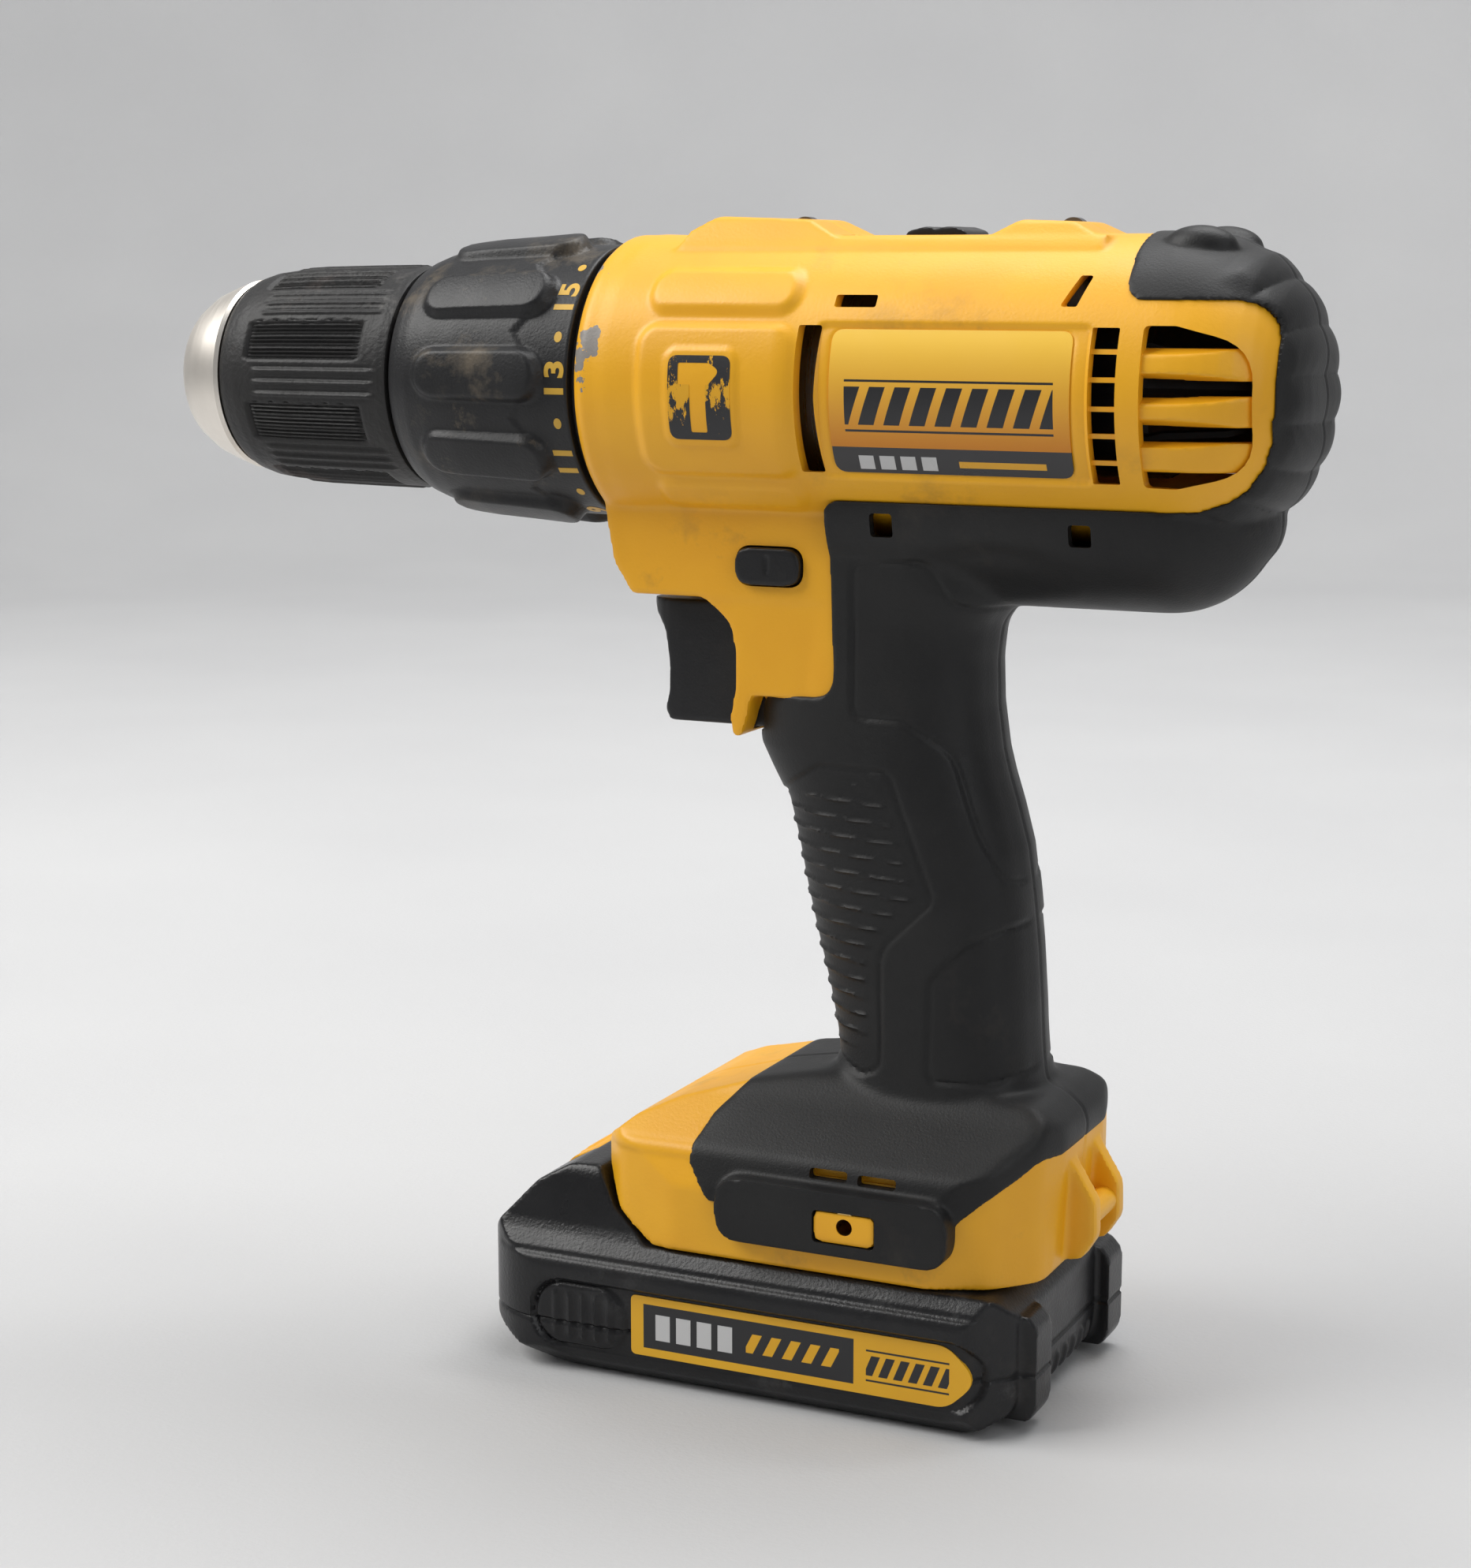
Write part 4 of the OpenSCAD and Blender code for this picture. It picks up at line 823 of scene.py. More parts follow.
rubber = skin_rubber()
skin = soft_form("skin", 0.5)
kept_inside(skin, plate("skin_zone", skin_outline(), -60, 60))
for flank in (-1, 1):
    joined(skin, hook_pad(flank), nub(flank))
cast(skin, 0.55, 4)
eased(skin, lambda x, y, z: inside_share(np.abs(z - 64) - 12, 4), 70)
eased(skin, lambda x, y, z: inside_share(np.abs(z - 160) - 12, 8) * inside_share(24 - x, 8), 50)
pressed(skin, skin_relief)
cut(skin, plate("trigger_room", box_points(-40, 4, 131.4, 157.6, 2), -10.9, 10.9))
inner = widened(barrel("inner", -1.6, front_x, dome_r))
joined(inner, motor_bulge("inner_belly", -1.6), lofted("inner_grip", grip_rows(-1.6)),
       foot_block("inner_foot", -1.6, 33.6))
cut(skin, inner)
for flank in (-1, 1):
    near, far = sorted((10 * flank, 60 * flank))
    cut(skin, plate("spot", box_points(16, 20.6, 171.6, 176.2, 0.8), near, far))
    cut(skin, plate("spot", box_points(55.6, 60, 171.2, 175.4, 0.8), near, far))
    cut(skin, plate("inset", box_points(11.8, 24.9, 35.8, 42.4, 1.2), near, far))
    cut(skin, plate("slot", box_points(9.4, 17.4, 47.2, 49.2, 0.8), near, far))
    cut(skin, plate("slot", box_points(19.6, 27.6, 47, 49, 0.8), near, far))
for half, side in zip(split_halves(skin, ("overmould_left", "overmould_right")), ("left", "right")):
    smooth_faces(half, 40)
    fitted(half, "housing", "soft_rubber", rubber, f"{side}_overmould")

# ---- Label plates: one on each flank of the barrel --------------------------
# Printed foil on a thin curved plate, sunk into the housing. The print is a striped panel and a dark strip
# along the lower edge, laid over painted shading: yellow that darkens towards the bottom and brightens towards the
# top.


ink = (0.02, 0.02, 0.022)


def plate_print():
    material = plastic("plate_print", (0.86, 0.45, 0.02), (0.82, 0.40, 0.015), 0.32, grain=400, depth=0.00001)
    nodes = material.node_tree.nodes
    links = material.node_tree.links
    shader = nodes["Principled BSDF"]
    x, z, maths, band, patch, over = print_masks(material)
    # Painted shading: the plate's yellow darkens to orange towards the bottom and brightens towards the top, as
    # light falls on the barrel.
    painted_shading_fade = nodes.new("ShaderNodeMapRange")
    painted_shading_fade.inputs["From Min"].default_value = axis_z - 10
    painted_shading_fade.inputs["From Max"].default_value = axis_z + 11
    links.new(z, painted_shading_fade.inputs["Value"])
    ramp = nodes.new("ShaderNodeValToRGB")
    ramp.color_ramp.elements[0].color = (0.62, 0.22, 0.006, 1)
    ramp.color_ramp.elements[1].color = (1.0, 0.62, 0.07, 1)
    links.new(painted_shading_fade.outputs["Result"], ramp.inputs["Fac"])
    colour = ramp.outputs["Color"]
    for rule_z in (axis_z + 2.0, axis_z - 7.3):
        colour = over(colour, ink, patch(14, 55, rule_z - 0.22, rule_z + 0.22))
    slanted = maths("FRACT", maths("MULTIPLY", maths("ADD", x, maths("MULTIPLY", z, -0.35)), 1 / 5.1))
    stripes = maths("MULTIPLY", band(slanted, 0.0, 0.62), patch(14, 55, axis_z - 6.2, axis_z + 0.9))
    colour = over(colour, ink, stripes)
    colour = over(colour, (0.035, 0.034, 0.036), band(z, 150, axis_z - 10.4))
    for i in range(4):
        colour = over(colour, (0.55, 0.55, 0.55), patch(16 + 4.2 * i, 19 + 4.2 * i, axis_z - 14.6, axis_z - 12))
    colour = over(colour, (0.75, 0.38, 0.02), patch(36, 53, axis_z - 13.9, axis_z - 12.7))
    links.new(colour, shader.inputs["Base Color"])
    return material


def label_plate(name, side, body_r):
    ring = turned(name, [(10, body_r - 0.7), (10, body_r), (59, body_r), (59, body_r - 0.7)], 256, closed=True)
    low, high = sorted((8 * side, 40 * side))
    kept_inside(ring, plate("label_edge", box_points(10.9, 58.1, 184.2, 210.9, 2.3), low, high))
    return smooth_faces(ring, 30)


plate_finish = plate_print()
for side, word in ((-1, "left"), (1, "right")):
    fitted(label_plate(f"label_plate_{word}", side, barrel_r - 0.62), "housing", "label", plate_finish,
           f"{word}_label_plate")

# ---- Hammer badge: a worn black print on each flank -------------------------
# Pad-printed ink on the raised tile, with the hammer left yellow. Handling
# has rubbed most of it away at the edges.


def worn_ink():
    material = plastic("worn_ink", (0.80, 0.42, 0.012), (0.70, 0.34, 0.01), 0.45, grain=1500, depth=0.00005)
    nodes = material.node_tree.nodes
    links = material.node_tree.links
    shader = nodes["Principled BSDF"]
    x, z, maths, band, patch, over = print_masks(material)
    bare = nodes.new("ShaderNodeTexNoise")
    bare.inputs["Scale"].default_value = 420
    bare.inputs["Detail"].default_value = 6
    bare.inputs["Roughness"].default_value = 0.75
    stretch = nodes.new("ShaderNodeMapping")
    stretch.inputs["Scale"].default_value = (1.0, 1.0, 0.35)
    links.new(nodes.new("ShaderNodeTexCoord").outputs["Object"], stretch.inputs["Vector"])
    links.new(stretch.outputs["Vector"], bare.inputs["Vector"])
    height = maths("MULTIPLY", maths("ABSOLUTE", maths("SUBTRACT", z, axis_z - 0.4)), 0.028)
    keep = maths("GREATER_THAN", maths("ADD", bare.outputs["Fac"], height), 0.585)
    base = shader.inputs["Base Color"].links[0].from_socket
    links.new(over(base, ink, keep), shader.inputs["Base Color"])
    return material


def hammer_badge(name, side):
    top_r = barrel_r + 1.15 + 0.45 + 0.06
    ring = turned(name, [(-24, top_r - 0.3), (-24, top_r), (-6, top_r), (-6, top_r - 0.3)], 256, closed=True)
    low, high = sorted((8 * side, 40 * side))
    kept_inside(ring, plate("badge_edge", box_points(-21.6, -8.5, 189.8, 205.8, 2), low, high))
    cut(ring, plate("hammer_head", [(-19.5, 200.3, 0.4), (-13, 200.3, 0.4), (-10.6, 202.9, 1.5),
                                    (-13, 204.4, 0.5), (-19.5, 204.4, 0.4)], low, high))
    cut(ring, plate("hammer_shaft", box_points(-17, -13.6, 191.2, 200.8, 0.4), low, high))
    return smooth_faces(ring, 30)


badge_ink = worn_ink()
for side, word in ((-1, "left"), (1, "right")):
    fitted(hammer_badge(f"hammer_badge_{word}", side), "housing", "label", badge_ink)

# ---- Chuck: steel nose and ribbed rubber clamping sleeve --------------------
# Keyless chuck. A turned steel nose cap stands in front of the sleeve, whose
# rubber grip has fine ribs in panels and pairs of long bars between them.

sleeve_low, sleeve_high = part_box("chuck_sleeve")
sleeve_start = sleeve_low.x / MM + 1.5
sleeve_end = sleeve_high.x / MM
nose_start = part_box("chuck_nose")[0].x / MM


def satin_steel(name, colour, roughness, streak=0.12):
    material = bpy.data.materials.new(name)
    material.use_nodes = True
    nodes = material.node_tree.nodes
    links = material.node_tree.links
    shader = nodes["Principled BSDF"]
    shader.inputs["Metallic"].default_value = 1.0
    place = nodes.new("ShaderNodeTexCoord")
    turn_marks = nodes.new("ShaderNodeMapping")
    turn_marks.inputs["Scale"].default_value = (40, 1, 1)
    links.new(place.outputs["Object"], turn_marks.inputs["Vector"])
    lines = nodes.new("ShaderNodeTexNoise")
    lines.inputs["Scale"].default_value = 60
    lines.inputs["Detail"].default_value = 4
    links.new(turn_marks.outputs["Vector"], lines.inputs["Vector"])
    cloud = nodes.new("ShaderNodeTexNoise")
    cloud.inputs["Scale"].default_value = 120
    cloud.inputs["Detail"].default_value = 4
    links.new(place.outputs["Object"], cloud.inputs["Vector"])
    tone = nodes.new("ShaderNodeValToRGB")
    tone.color_ramp.elements[0].color = tuple(c * 0.82 for c in colour) + (1,)
    tone.color_ramp.elements[1].color = (*colour, 1)
    links.new(cloud.outputs["Fac"], tone.inputs["Fac"])
    links.new(tone.outputs["Color"], shader.inputs["Base Color"])
    sheen = nodes.new("ShaderNodeMapRange")
    sheen.inputs["To Min"].default_value = roughness - streak
    sheen.inputs["To Max"].default_value = roughness + streak
    links.new(lines.outputs["Fac"], sheen.inputs["Value"])
    links.new(sheen.outputs["Result"], shader.inputs["Roughness"])
    bump = nodes.new("ShaderNodeBump")
    bump.inputs["Strength"].default_value = 0.35
    bump.inputs["Distance"].default_value = 0.00003
    links.new(lines.outputs["Fac"], bump.inputs["Height"])
    links.new(bump.outputs["Normal"], shader.inputs["Normal"])
    return material


def stepped(points, pitch):
    """The profile with extra points, no further apart than the pitch."""
    line = []
    for (xa, ra), (xb, rb) in zip(points, points[1:]):
        count = max(1, math.ceil(math.hypot(xb - xa, rb - ra) / pitch))
        line += [(xa + (xb - xa) * i / count, ra + (rb - ra) * i / count) for i in range(count)]
    return line + [points[-1]]


def around(y, z):
    """Degrees round the spindle, from the left flank upwards, and the radius."""
    return np.degrees(np.arctan2(z - axis_z, -y)), np.hypot(y, z - axis_z)


def off_centre(angle, first, spacing):
    """Degrees from the nearest of a row of centres."""
    return (angle - first + spacing / 2) % spacing - spacing / 2


nose_cap = turned("nose_cap", [
    (nose_start + 6, 10.7), (nose_start + 0.4, 10.7), (nose_start, 11.1), (nose_start, 13.3),
    (nose_start + 0.35, 14.3), (nose_start + 1.2, 15.1), (nose_start + 4.8, 17.5),
    (nose_start + 8.4, 18.9), (nose_start + 12, 20.1), (nose_start + 12.8, 19.6),
    (nose_start + 12.8, 13.05), (nose_start + 6, 13.05)], 192, closed=True)
smooth_faces(nose_cap, 28)
fitted(nose_cap, "chuck", "nose_metal", satin_steel("nose_steel", (0.86, 0.81, 0.74), 0.4), "chuck_nose")


def sleeve_relief(x, y, z, facing):
    angle, radius = around(y, z)
    outside = inside_share(17.6 - radius, 0.5) * inside_share(sleeve_start + 2 - x, 1.5)
    fine = off_centre(angle, 21, 45) * math.radians(1) * 22
    bars = off_centre(angle, -2.5, 45) * math.radians(1) * 22
    ragged = 0.35 * np.sin(x * 2.3) * np.sin(x * 0.9 + 1) * (fine > 0)
    bed = inside_share(box_distance(x, fine, -124.5, -96.6, -4.3, 4.3, 1.2) + ragged, 0.6)
    ribs = 0.5 + 0.5 * np.cos(2 * math.pi * fine / 0.83)
    rise = -0.75 * bed + 0.55 * ribs * bed * inside_share(np.abs(x + 110.5) - 13.4, 0.6)
    tail = inside_share(np.abs(x + 107.5) - 14.5, 1.5)
    for centre in (-2.2, 0.2, 2.6):
        rise += 0.4 * tail * inside_share(np.abs(bars - centre) - 0.35, 0.5)
        rise -= 0.25 * tail * inside_share(np.abs(bars - centre - 0.9) - 0.25, 0.4)
    rear_band = groove(x + 90.8, 0.5)
    return (rise - 0.2 * rear_band) * outside


sleeve_rubber = plastic("sleeve_rubber", (0.012, 0.012, 0.013), (0.026, 0.025, 0.024), 0.5, gloss=0.3,
                        dirt=(0.12, 0.09, 0.08), dirt_share=0.5, grain=900, depth=0.00025,
                        scuff=(0.16, 0.15, 0.14), scuff_share=0.35)
sleeve_profile = [(sleeve_start, 17.1), (sleeve_start, 19.2), (sleeve_start + 0.5, 19.8),
                  (sleeve_start + 2, 20.7), (sleeve_start + 5, 21.6), (sleeve_start + 9, 22.1),
                  (sleeve_start + 16, 22.5), (sleeve_start + 28, 22.75), (sleeve_end - 1, 22.95),
                  (sleeve_end - 0.2, 22.7), (sleeve_end, 22.2), (sleeve_end, 17.1)]
sleeve = turned("clamping_sleeve", stepped(sleeve_profile, 0.8), 720, closed=True)
pressed(sleeve, sleeve_relief)
smooth_faces(sleeve, 50)
fitted(sleeve, "sleeve", "sleeve_rubber", sleeve_rubber, "chuck_sleeve")

# ---- Torque collar: ten pill-shaped grips and a printed scale ---------------
# Moulded in black nylon with a dull spark finish. The scale runs round its
# rear edge in yellow ink, odd numbers with dots between them.

collar_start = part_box("torque_collar")[0].x / MM
collar_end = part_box("torque_collar")[1].x / MM + 1.7
grip_count = 10


def collar_relief(x, y, z, facing):
    angle, radius = around(y, z)
    outside = inside_share(22 - radius, 1)
    arc = off_centre(angle, 4, 360 / grip_count) * math.radians(1) * 27.5
    pill = inside_share(box_distance(x, arc, collar_start + 8.5, collar_end - 6.6, -4.9, 4.9, 4.6), 2.0)
    crown = 1.75 + 0.25 * np.clip((x + 66) / 13, -1, 1)
    slant = collar_end - 13.4 + 0.35 * np.abs(off_centre(angle, 22, 360 / grip_count))
    number_ring = inside_share(slant - x, 0.8)
    return outside * ((crown + 0.5 * number_ring) * pill - 0.5 * number_ring)


collar_nylon = plastic("collar_nylon", (0.010, 0.010, 0.011), (0.017, 0.017, 0.018), 0.44, gloss=0.35,
                       dirt=(0.20, 0.16, 0.11), dirt_share=0.55, grain=1700, depth=0.00012,
                       scuff=(0.22, 0.17, 0.11), scuff_share=0.35)
collar_profile = [(collar_start, 17.4), (collar_start, 22.3), (collar_start + 0.6, 23.2),
                  (collar_start + 2.5, 24.4), (collar_start + 5.5, 25.5), (collar_start + 10, 26.3),
                  (collar_start + 17, 26.9), (collar_start + 26, 27.3), (collar_end - 11, 27.7),
                  (collar_end - 0.5, 27.8), (collar_end, 27.3), (collar_end, 25.1),
                  (collar_end - 8, 25.1), (collar_end - 8, 21.6), (collar_start + 2.2, 21.6),
                  (collar_start + 2.2, 17.4)]
collar = turned("torque_collar_grip", stepped(collar_profile, 0.8), 540, closed=True)
pressed(collar, collar_relief)
smooth_faces(collar, 50)
fitted(collar, "torque_collar", "collar_plastic", collar_nylon, "torque_collar")


def wrapped_mark(name, mark, angle, centre_x, ink_r):
    """Lays a flat mark round the collar, its own X running upwards and its Y forwards."""
    bm = bmesh.new()
    bm.from_mesh(mark)
    bmesh.ops.triangulate(bm, faces=bm.faces)
    bmesh.ops.subdivide_edges(bm, edges=[e for e in bm.edges if e.calc_length() > 0.8], cuts=1)
    for vert in bm.verts:
        turn = math.radians(angle) + 1.3 * vert.co.x / ink_r
        r = ink_r + vert.co.z
        vert.co = Vector(((centre_x - vert.co.y) * MM, -r * math.cos(turn) * MM,
                          (axis_z + r * math.sin(turn)) * MM))
    return grid_of(bm, name)


def digit_mesh(text):
    words = bpy.data.curves.new("digits", "FONT")
    words.body = text
    words.size = 5.7
    words.align_x = "CENTER"
    words.align_y = "CENTER"
    words.offset = 0.2
    words.extrude = 0.03
    words.space_character = 1.15
    holder = bpy.data.objects.new("digits", words)
    bpy.context.scene.collection.objects.link(holder)
    mesh = bpy.data.meshes.new_from_object(holder.evaluated_get(bpy.context.evaluated_depsgraph_get()))
    bpy.data.objects.remove(holder)
    return mesh


def dot_mesh(radius):
    bm = bmesh.new()
    bmesh.ops.create_cone(bm, cap_ends=True, segments=20, radius1=radius, radius2=radius, depth=0.06)
    mesh = bpy.data.meshes.new("dot")
    bm.to_mesh(mesh)
    bm.free()
    return mesh


scale_ink = plastic("scale_ink", (0.72, 0.42, 0.03), (0.45, 0.27, 0.04), 0.5, grain=1500, depth=0.00004)
scale_x = collar_end - 3.1
ink_r = 27.3
for number in range(1, 17):
    turn = 2 + 18 * (number - 13)
    odd = number % 2 == 1
    mark = digit_mesh(str(number)) if odd else dot_mesh(0.85)
    piece = wrapped_mark(f"scale_mark_{number}", mark, turn, scale_x, ink_r)
    fitted(piece, "torque_collar", "collar_plastic", scale_ink)

# ---- Controls: trigger, direction button, speed slider and work light -------
# Black acetal pieces that move in the housing, and a clear lens in its nose.

control_black = plastic("control_black", (0.009, 0.009, 0.010), (0.014, 0.014, 0.015), 0.36, gloss=0.35,
                        dirt=(0.05, 0.045, 0.04), dirt_share=0.3, grain=1900, depth=0.00006)
trigger_low, trigger_high = (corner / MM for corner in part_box("trigger"))
half_trigger = trigger_high.y - 0.1
finger = plate("trigger_blade", [
    (-5, 131.9, 1), (-5, 156.7, 1), (-36.6, 156.7, 0.5), (-36.2, 154.8, 2), (-32.8, 150.6, 5),
    (-31.5, 143, 8), (-31.6, 138, 6), (-32.8, 134.2, 2), (-31.4, 131.9, 1.5)], -half_trigger, half_trigger)
kept_inside(finger, floor_plate("trigger_plan", [
    (-37, -half_trigger, 8), (-4, -half_trigger, 0), (-4, half_trigger, 0), (-37, half_trigger, 8)], 125, 165))
cast(finger, 0.42, 7)
joined(finger, turned("plunger", [(-8, 0), (-8, 2.9), (trigger_high.x, 2.9), (trigger_high.x, 0)], 32,
                      trigger_low.z + 12.4))
smooth_faces(finger)
fitted(finger, "trigger", "black_plastic", control_black, "trigger")

button_reach = button_high.y / MM
pin = plate("direction_pill", box_points(button_low.x / MM, button_high.x / MM, button_low.z / MM + 3.6,
                                         button_high.z / MM, 3.2), -button_reach, button_reach)
cast(pin, 0.38, 6)
joined(pin, plate("lever", box_points(-8, -5, button_low.z / MM, button_high.z / MM - 5, 0), -2, 2))
pressed(pin, lambda x, y, z, facing: -0.35 * groove(x + 6.5, 0.6) * inside_share(16 - np.abs(y), 1)
        * inside_share(np.abs(z - 165.2) - 1.6, 0.8))
smooth_faces(pin)
fitted(pin, "direction_button", "black_plastic", control_black, "direction_button")

slide_low, slide_high = (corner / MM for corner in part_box("speed_slider"))
knob = plate("speed_knob", [(slide_low.x, axis_z + 28.3, 0.5), (slide_high.x, axis_z + 28.3, 0.5),
                            (slide_high.x - 0.6, axis_z + 29.6, 1), (slide_high.x - 3, axis_z + 30.4, 1.5),
                            (slide_low.x + 8.4, axis_z + 30.4, 2), (slide_low.x + 6.4, axis_z + 29.9, 1),
                            (slide_low.x + 4.6, axis_z + 30.5, 2), (slide_low.x + 0.8, axis_z + 29.6, 1)],
             -6.4, 6.4)
cast(knob, 0.35, 4)
joined(knob, plate("knob_foot", box_points(slide_low.x + 0.1, slide_high.x - 0.1, slide_low.z, axis_z + 28.6, 0),
                   -3.9, 3.9))
smooth_faces(knob)
fitted(knob, "speed_selector", "black_plastic", control_black, "speed_slider")


def clear_lens():
    material = satin_steel("clear_lens", (0.85, 0.88, 0.9), 0.12, 0.03)
    shader = material.node_tree.nodes["Principled BSDF"]
    shader.inputs["Metallic"].default_value = 0.0
    shader.inputs["Transmission Weight"].default_value = 0.6
    shader.inputs["IOR"].default_value = 1.49
    return material


lens_low, lens_high = (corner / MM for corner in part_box("work_light_lens"))
lens_z = (lens_low.z + lens_high.z) / 2
lens = turned("lens_dome", [(lens_high.x, 0), (lens_high.x, 3.1), (lens_low.x + 0.6, 3.1), (lens_low.x + 0.1, 2.7),
                            (lens_low.x - 0.5, 1.6), (lens_low.x - 0.8, 0)], 48, lens_z)
smooth_faces(lens)
fitted(lens, "housing", "lens", clear_lens(), "work_light_lens")

# ---- Battery pack: two black shells, label, lugs and release button ---------
# Glass-filled nylon shells that meet on a stepped seam. Each flank has a sunk
# stadium with thumb ribs and a printed label, and two lugs guard the rear.

pack_low, pack_high = (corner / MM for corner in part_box("pack_upper_shell"))
pack_half = pack_high.y
seam_z = pack_low.z


def pack_form():
    side = [(-44, 0, 9), (42, 0, 5), (51.2, 4.5, 5), (52, 10, 3), (52, 23.4, 4), (47.5, 28, 4), (-26.4, 28, 0.5),
            (-34.6, 34.2, 0.5), (-39.4, 41.8, 1.5), (-46, 41.4, 6), (-53, 37.4, 7), (-62.8, 26.4, 7), (-66, 17.5, 5), (-64.2, 9, 8)]
    plan = [(-66.3, 8, 14), (-66.3, -8, 14), (-63, -30, 12), (-54, -pack_half, 16), (44, -pack_half, 6),
            (52, -pack_half + 9, 7), (52, pack_half - 9, 7), (44, pack_half, 6), (-54, pack_half, 16),
            (-63, 30, 12)]
    w = pack_half
    across = [(5 - w, 0, 4), (w - 5, 0, 4), (w, 5, 3), (w, 23, 5), (w - 4.4, 28.2, 3), (31.5, 30, 3),
              (27.5, 42.5, 5), (-27.5, 42.5, 5), (-31.5, 30, 3), (4.4 - w, 28.2, 3), (-w, 23, 5), (-w, 5, 3)]
    form = plate("pack", side, -50, 50)
    kept_inside(form, floor_plate("pack_plan", plan, -5, 50))
    kept_inside(form, long_bar("pack_across", across, -80, 80))
    for side_y in (-22.5, 22.5):
        joined(form, plate("lug", [(44, 2.4, 1), (53.5, 2.4, 1.6), (55, 5, 2), (55, 21, 2), (53, 23.6, 1.5),
                                   (44, 23.6, 1)], side_y - 4.5, side_y + 4.5))
    return cast(form, 0.5, 4)


def pack_relief(x, y, z, facing):
    flank = inside_share(pack_half - 4 - np.abs(y), 1.5)
    bed = box_distance(x, z, -50.5, 47.5, 5.3, 19.7, 7.2)
    depth = inside_share(bed, 0.9)
    sill = np.clip(-box_distance(x, z, -49.5, 46.5, 3.2, 19.7, 8.2) / 2.1, 0, 1) * (z < 8)
    rise = -1.4 * np.maximum(depth, sill) * flank
    thumb = inside_share(box_distance(x, z, -49.5, -29.2, 6.2, 18.8, 6), 0.8) * flank
    ribs = np.clip(1 - np.abs(off_centre(x, -45, 3.1)) / 0.9, 0, 1) * inside_share(np.abs(x + 39) - 7.6, 1)
    rise += 0.75 * thumb + 0.6 * ribs * inside_share(np.abs(z - 12.5) - 4.6, 1) * flank
    shoulder = groove(z - 24.6, 0.7) * flank * inside_share(x - 46, 3)
    seam = groove(z - seam_z - 1.2 * inside_share(-20 - x, 2), 0.55)
    rear = inside_share(50 - x, 1) * inside_share(np.abs(y) - 15, 2) * inside_share(z - 9, 1)
    rise += 0.8 * rear * np.clip(1 - np.abs(off_centre(y, 0, 5)) / 1.2, 0, 1)
    under = inside_share(z - 0.8, 0.5) * inside_share(np.abs(y) - 20, 1) * inside_share(np.abs(x) - 30, 1)
    rise -= 0.7 * under * np.clip(1 - np.abs(off_centre(x, 0, 9)) / 1.6, 0, 1)
    return rise - 0.3 * shoulder - 0.45 * seam


pack_nylon = plastic("pack_nylon", (0.009, 0.009, 0.010), (0.014, 0.014, 0.015), 0.33, gloss=0.35,
                     dirt=(0.06, 0.05, 0.045), dirt_share=0.3, grain=1400, depth=0.00012,
                     scuff=(0.12, 0.12, 0.12), scuff_share=0.25)
pack = pack_form()
pressed(pack, pack_relief)
cut(pack, plate("release_room", [(-61.7, 24.6, 0), (-54, 24.8, 0), (-46, 26.8, 0), (-46, 60, 0),
                                 (-75, 60, 0), (-75, 41, 0), (-61.7, 27.9, 0)], -15.3, 15.3))
cut(pack, plate("pack_hollow", [(-44, 3, 3), (42, 3, 3), (42, 25, 3), (-44, 25, 3)], -32.5, 32.5))
rails = long_bar("rail_neck", box_points(-17, 17, 27, 33, 0), -40, 35)
joined(rails, long_bar("rail_head", [(-20, 31.6, 0.4), (20, 31.6, 0.4), (20, 36.3, 0.6), (-20, 36.3, 0.6)],
                       -40, 35))
for blade_y in (-13.5, -4.5, 4.5, 13.5):
    cut(rails, long_bar("blade_gap", box_points(blade_y - 1, blade_y + 1, 31.5, 36.2, 0), 25, 60))
joined(pack, rails)
for name, low, high in (("pack_lower", -10, seam_z), ("pack_upper", seam_z, 60)):
    shell = sawn(pack, name, plate("room", box_points(-100, 100, low, high, 0), -60, 60))
    smooth_faces(shell, 35)
    fitted(shell, "pack", "pack_plastic", pack_nylon, f"{name}_shell")
scrapped(pack)

release = plate("release_key", [(-61.2, 28.4, 1.5), (-52.2, 38.4, 6), (-46.6, 41.2, 1.5), (-46.6, 31, 1),
                                (-54, 29, 1)], -15, 15)
cast(release, 0.4, 4)
pressed(release, lambda x, y, z, facing: 0.35 * (np.abs(off_centre(x, -56, 2.6)) < 0.6)
        * inside_share(np.abs(y) - 10, 1) * (facing[:, 2] > 0.3) * (x < -50))
smooth_faces(release)
fitted(release, "pack_release_button", "yellow_plastic", yellow, "pack_release_button")


def pack_print():
    material = plastic("pack_print", (0.84, 0.46, 0.018), (0.78, 0.40, 0.014), 0.34, grain=400, depth=0.00001)
    nodes = material.node_tree.nodes
    links = material.node_tree.links
    shader = nodes["Principled BSDF"]
    x, z, maths, band, patch, over = print_masks(material)
    colour = shader.inputs["Base Color"].links[0].from_socket
    colour = over(colour, ink, patch(-25.2, 20.6, 8.0, 17.2))
    for i in range(4):
        colour = over(colour, (0.6, 0.6, 0.6), patch(-22.5 + 4.6 * i, -19.3 + 4.6 * i, 9.9, 15.3))
    slanted = maths("FRACT", maths("MULTIPLY", maths("ADD", x, maths("MULTIPLY", z, -0.5)), 1 / 4.2))
    colour = over(colour, (0.80, 0.42, 0.015),
                  maths("MULTIPLY", band(slanted, 0.0, 0.5), patch(-2.5, 17.5, 10.6, 14.6)))
    for rule_z in (15.3, 9.2):
        colour = over(colour, ink, patch(23.2, 40.5, rule_z - 0.2, rule_z + 0.2))
    slanted = maths("FRACT", maths("MULTIPLY", maths("ADD", x, maths("MULTIPLY", z, -0.4)), 1 / 3.1))
    colour = over(colour, ink, maths("MULTIPLY", band(slanted, 0.0, 0.6), patch(23.2, 40.5, 10.2, 14.3)))
    links.new(colour, shader.inputs["Base Color"])
    return material


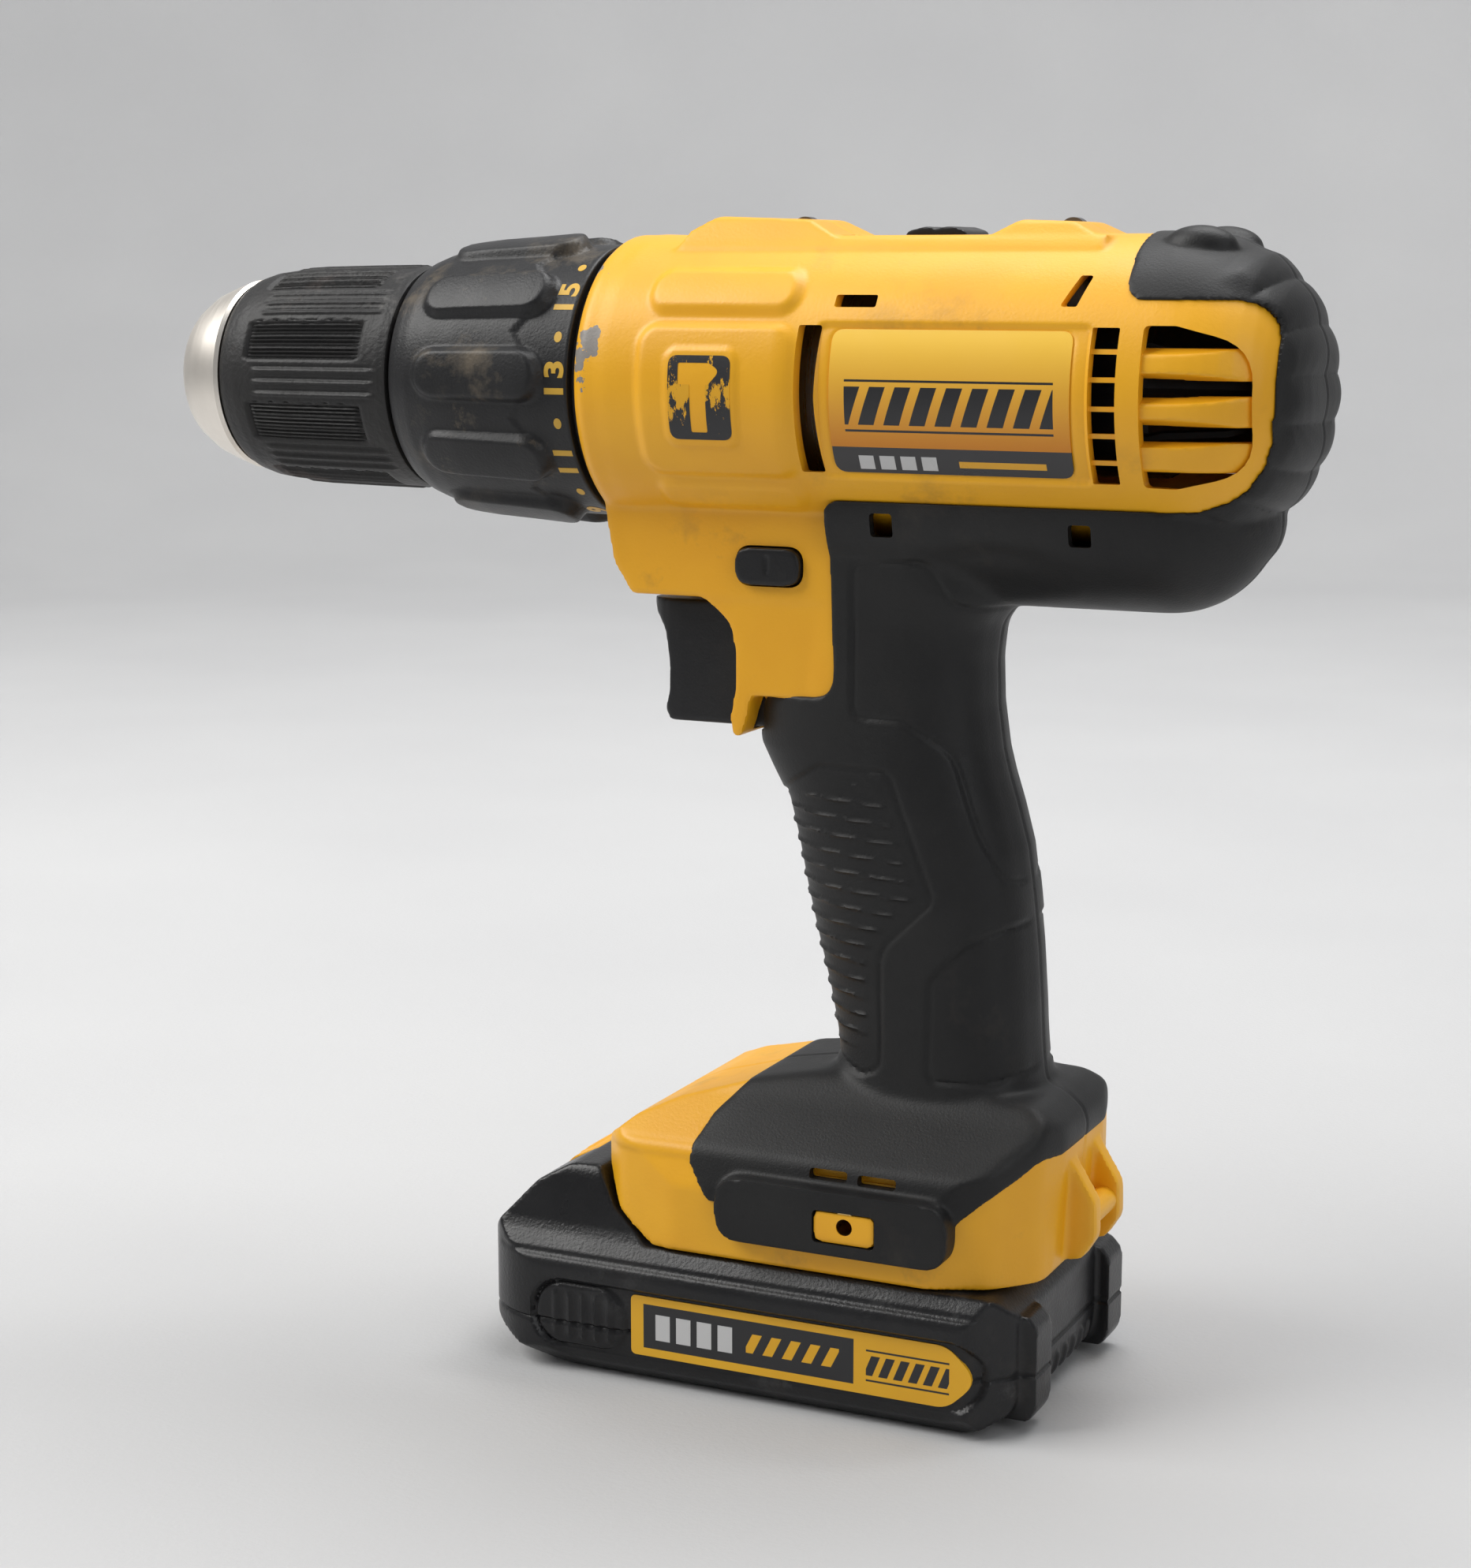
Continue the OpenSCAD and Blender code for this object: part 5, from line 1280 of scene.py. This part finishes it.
pack_label_print = pack_print()
for side, word in ((-1, "left"), (1, "right")):
    face = side * (pack_half - 1.15)
    low, high = sorted((face, face - side * 0.8))
    label = plate(f"pack_label_{word}", [(-28, 6.3, 1.2), (40, 6.3, 6), (46.6, 12.6, 6), (40, 18.8, 6),
                                         (-28, 18.8, 1.2)], low, high)
    smooth_faces(label, 30)
    fitted(label, "pack", "label", pack_label_print)

# ---- Brush cover: dark drum behind the rear grille --------------------------
# Nylon moulding over the brushes and the rear bearing, clipped to the end of
# the motor. It closes the view through the D-shaped openings.

cover = turned("brush_cover", [(54.2, 0), (54.2, 15.6), (56.5, 16.4), (69, 16.4), (71, 15.2), (83, 14),
                               (88, 11.5), (90.5, 7), (90.5, 0)], 96)
pressed(cover, lambda x, y, z, facing: -0.6 * groove(off_centre(around(y, z)[0], 0, 30), 3))
smooth_faces(cover, 30)
fitted(cover, "housing", "black_plastic", control_black)

# ---- Inside: gearbox, motor, switch, cells and wiring -----------------------
# Seen through the vents and when the pack or the bit is out. Steel, brass and
# sintered parts keep their shape and get their own finish.

inner_finishes = {
    "steel": satin_steel("ground_steel", (0.55, 0.55, 0.56), 0.3),
    "dark_steel": satin_steel("blackened_steel", (0.16, 0.16, 0.17), 0.42),
    "nose_metal": satin_steel("jaw_steel", (0.34, 0.33, 0.32), 0.38),
    "sintered_bronze": satin_steel("sintered_bronze", (0.42, 0.28, 0.14), 0.5),
    "brass": satin_steel("turned_brass", (0.75, 0.52, 0.20), 0.3),
    "copper": satin_steel("wound_copper", (0.62, 0.27, 0.13), 0.35),
    "magnet": satin_steel("ferrite", (0.08, 0.08, 0.085), 0.5),
    "carbon": plastic("pressed_carbon", (0.03, 0.03, 0.03), (0.05, 0.05, 0.05), 0.6),
    "gearcase_plastic": plastic("gearcase_nylon", (0.05, 0.05, 0.055), (0.07, 0.07, 0.075), 0.5),
    "grey_plastic": plastic("switch_grey", (0.09, 0.09, 0.1), (0.12, 0.12, 0.13), 0.5),
    "black_plastic": control_black,
    "wire": plastic("wire_sleeve", (0.30, 0.02, 0.015), (0.22, 0.015, 0.01), 0.4),
    "board": plastic("circuit_board", (0.02, 0.12, 0.05), (0.015, 0.09, 0.04), 0.35),
    "cell_wrap": plastic("cell_wrap", (0.04, 0.20, 0.13), (0.03, 0.16, 0.1), 0.3),
}
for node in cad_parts.values():
    if node.hide_render:
        continue
    for slot in node.material_slots:
        finish = slot.material.name.split(".")[0] if slot.material else "steel"
        slot.material = inner_finishes.get(finish, inner_finishes["steel"])
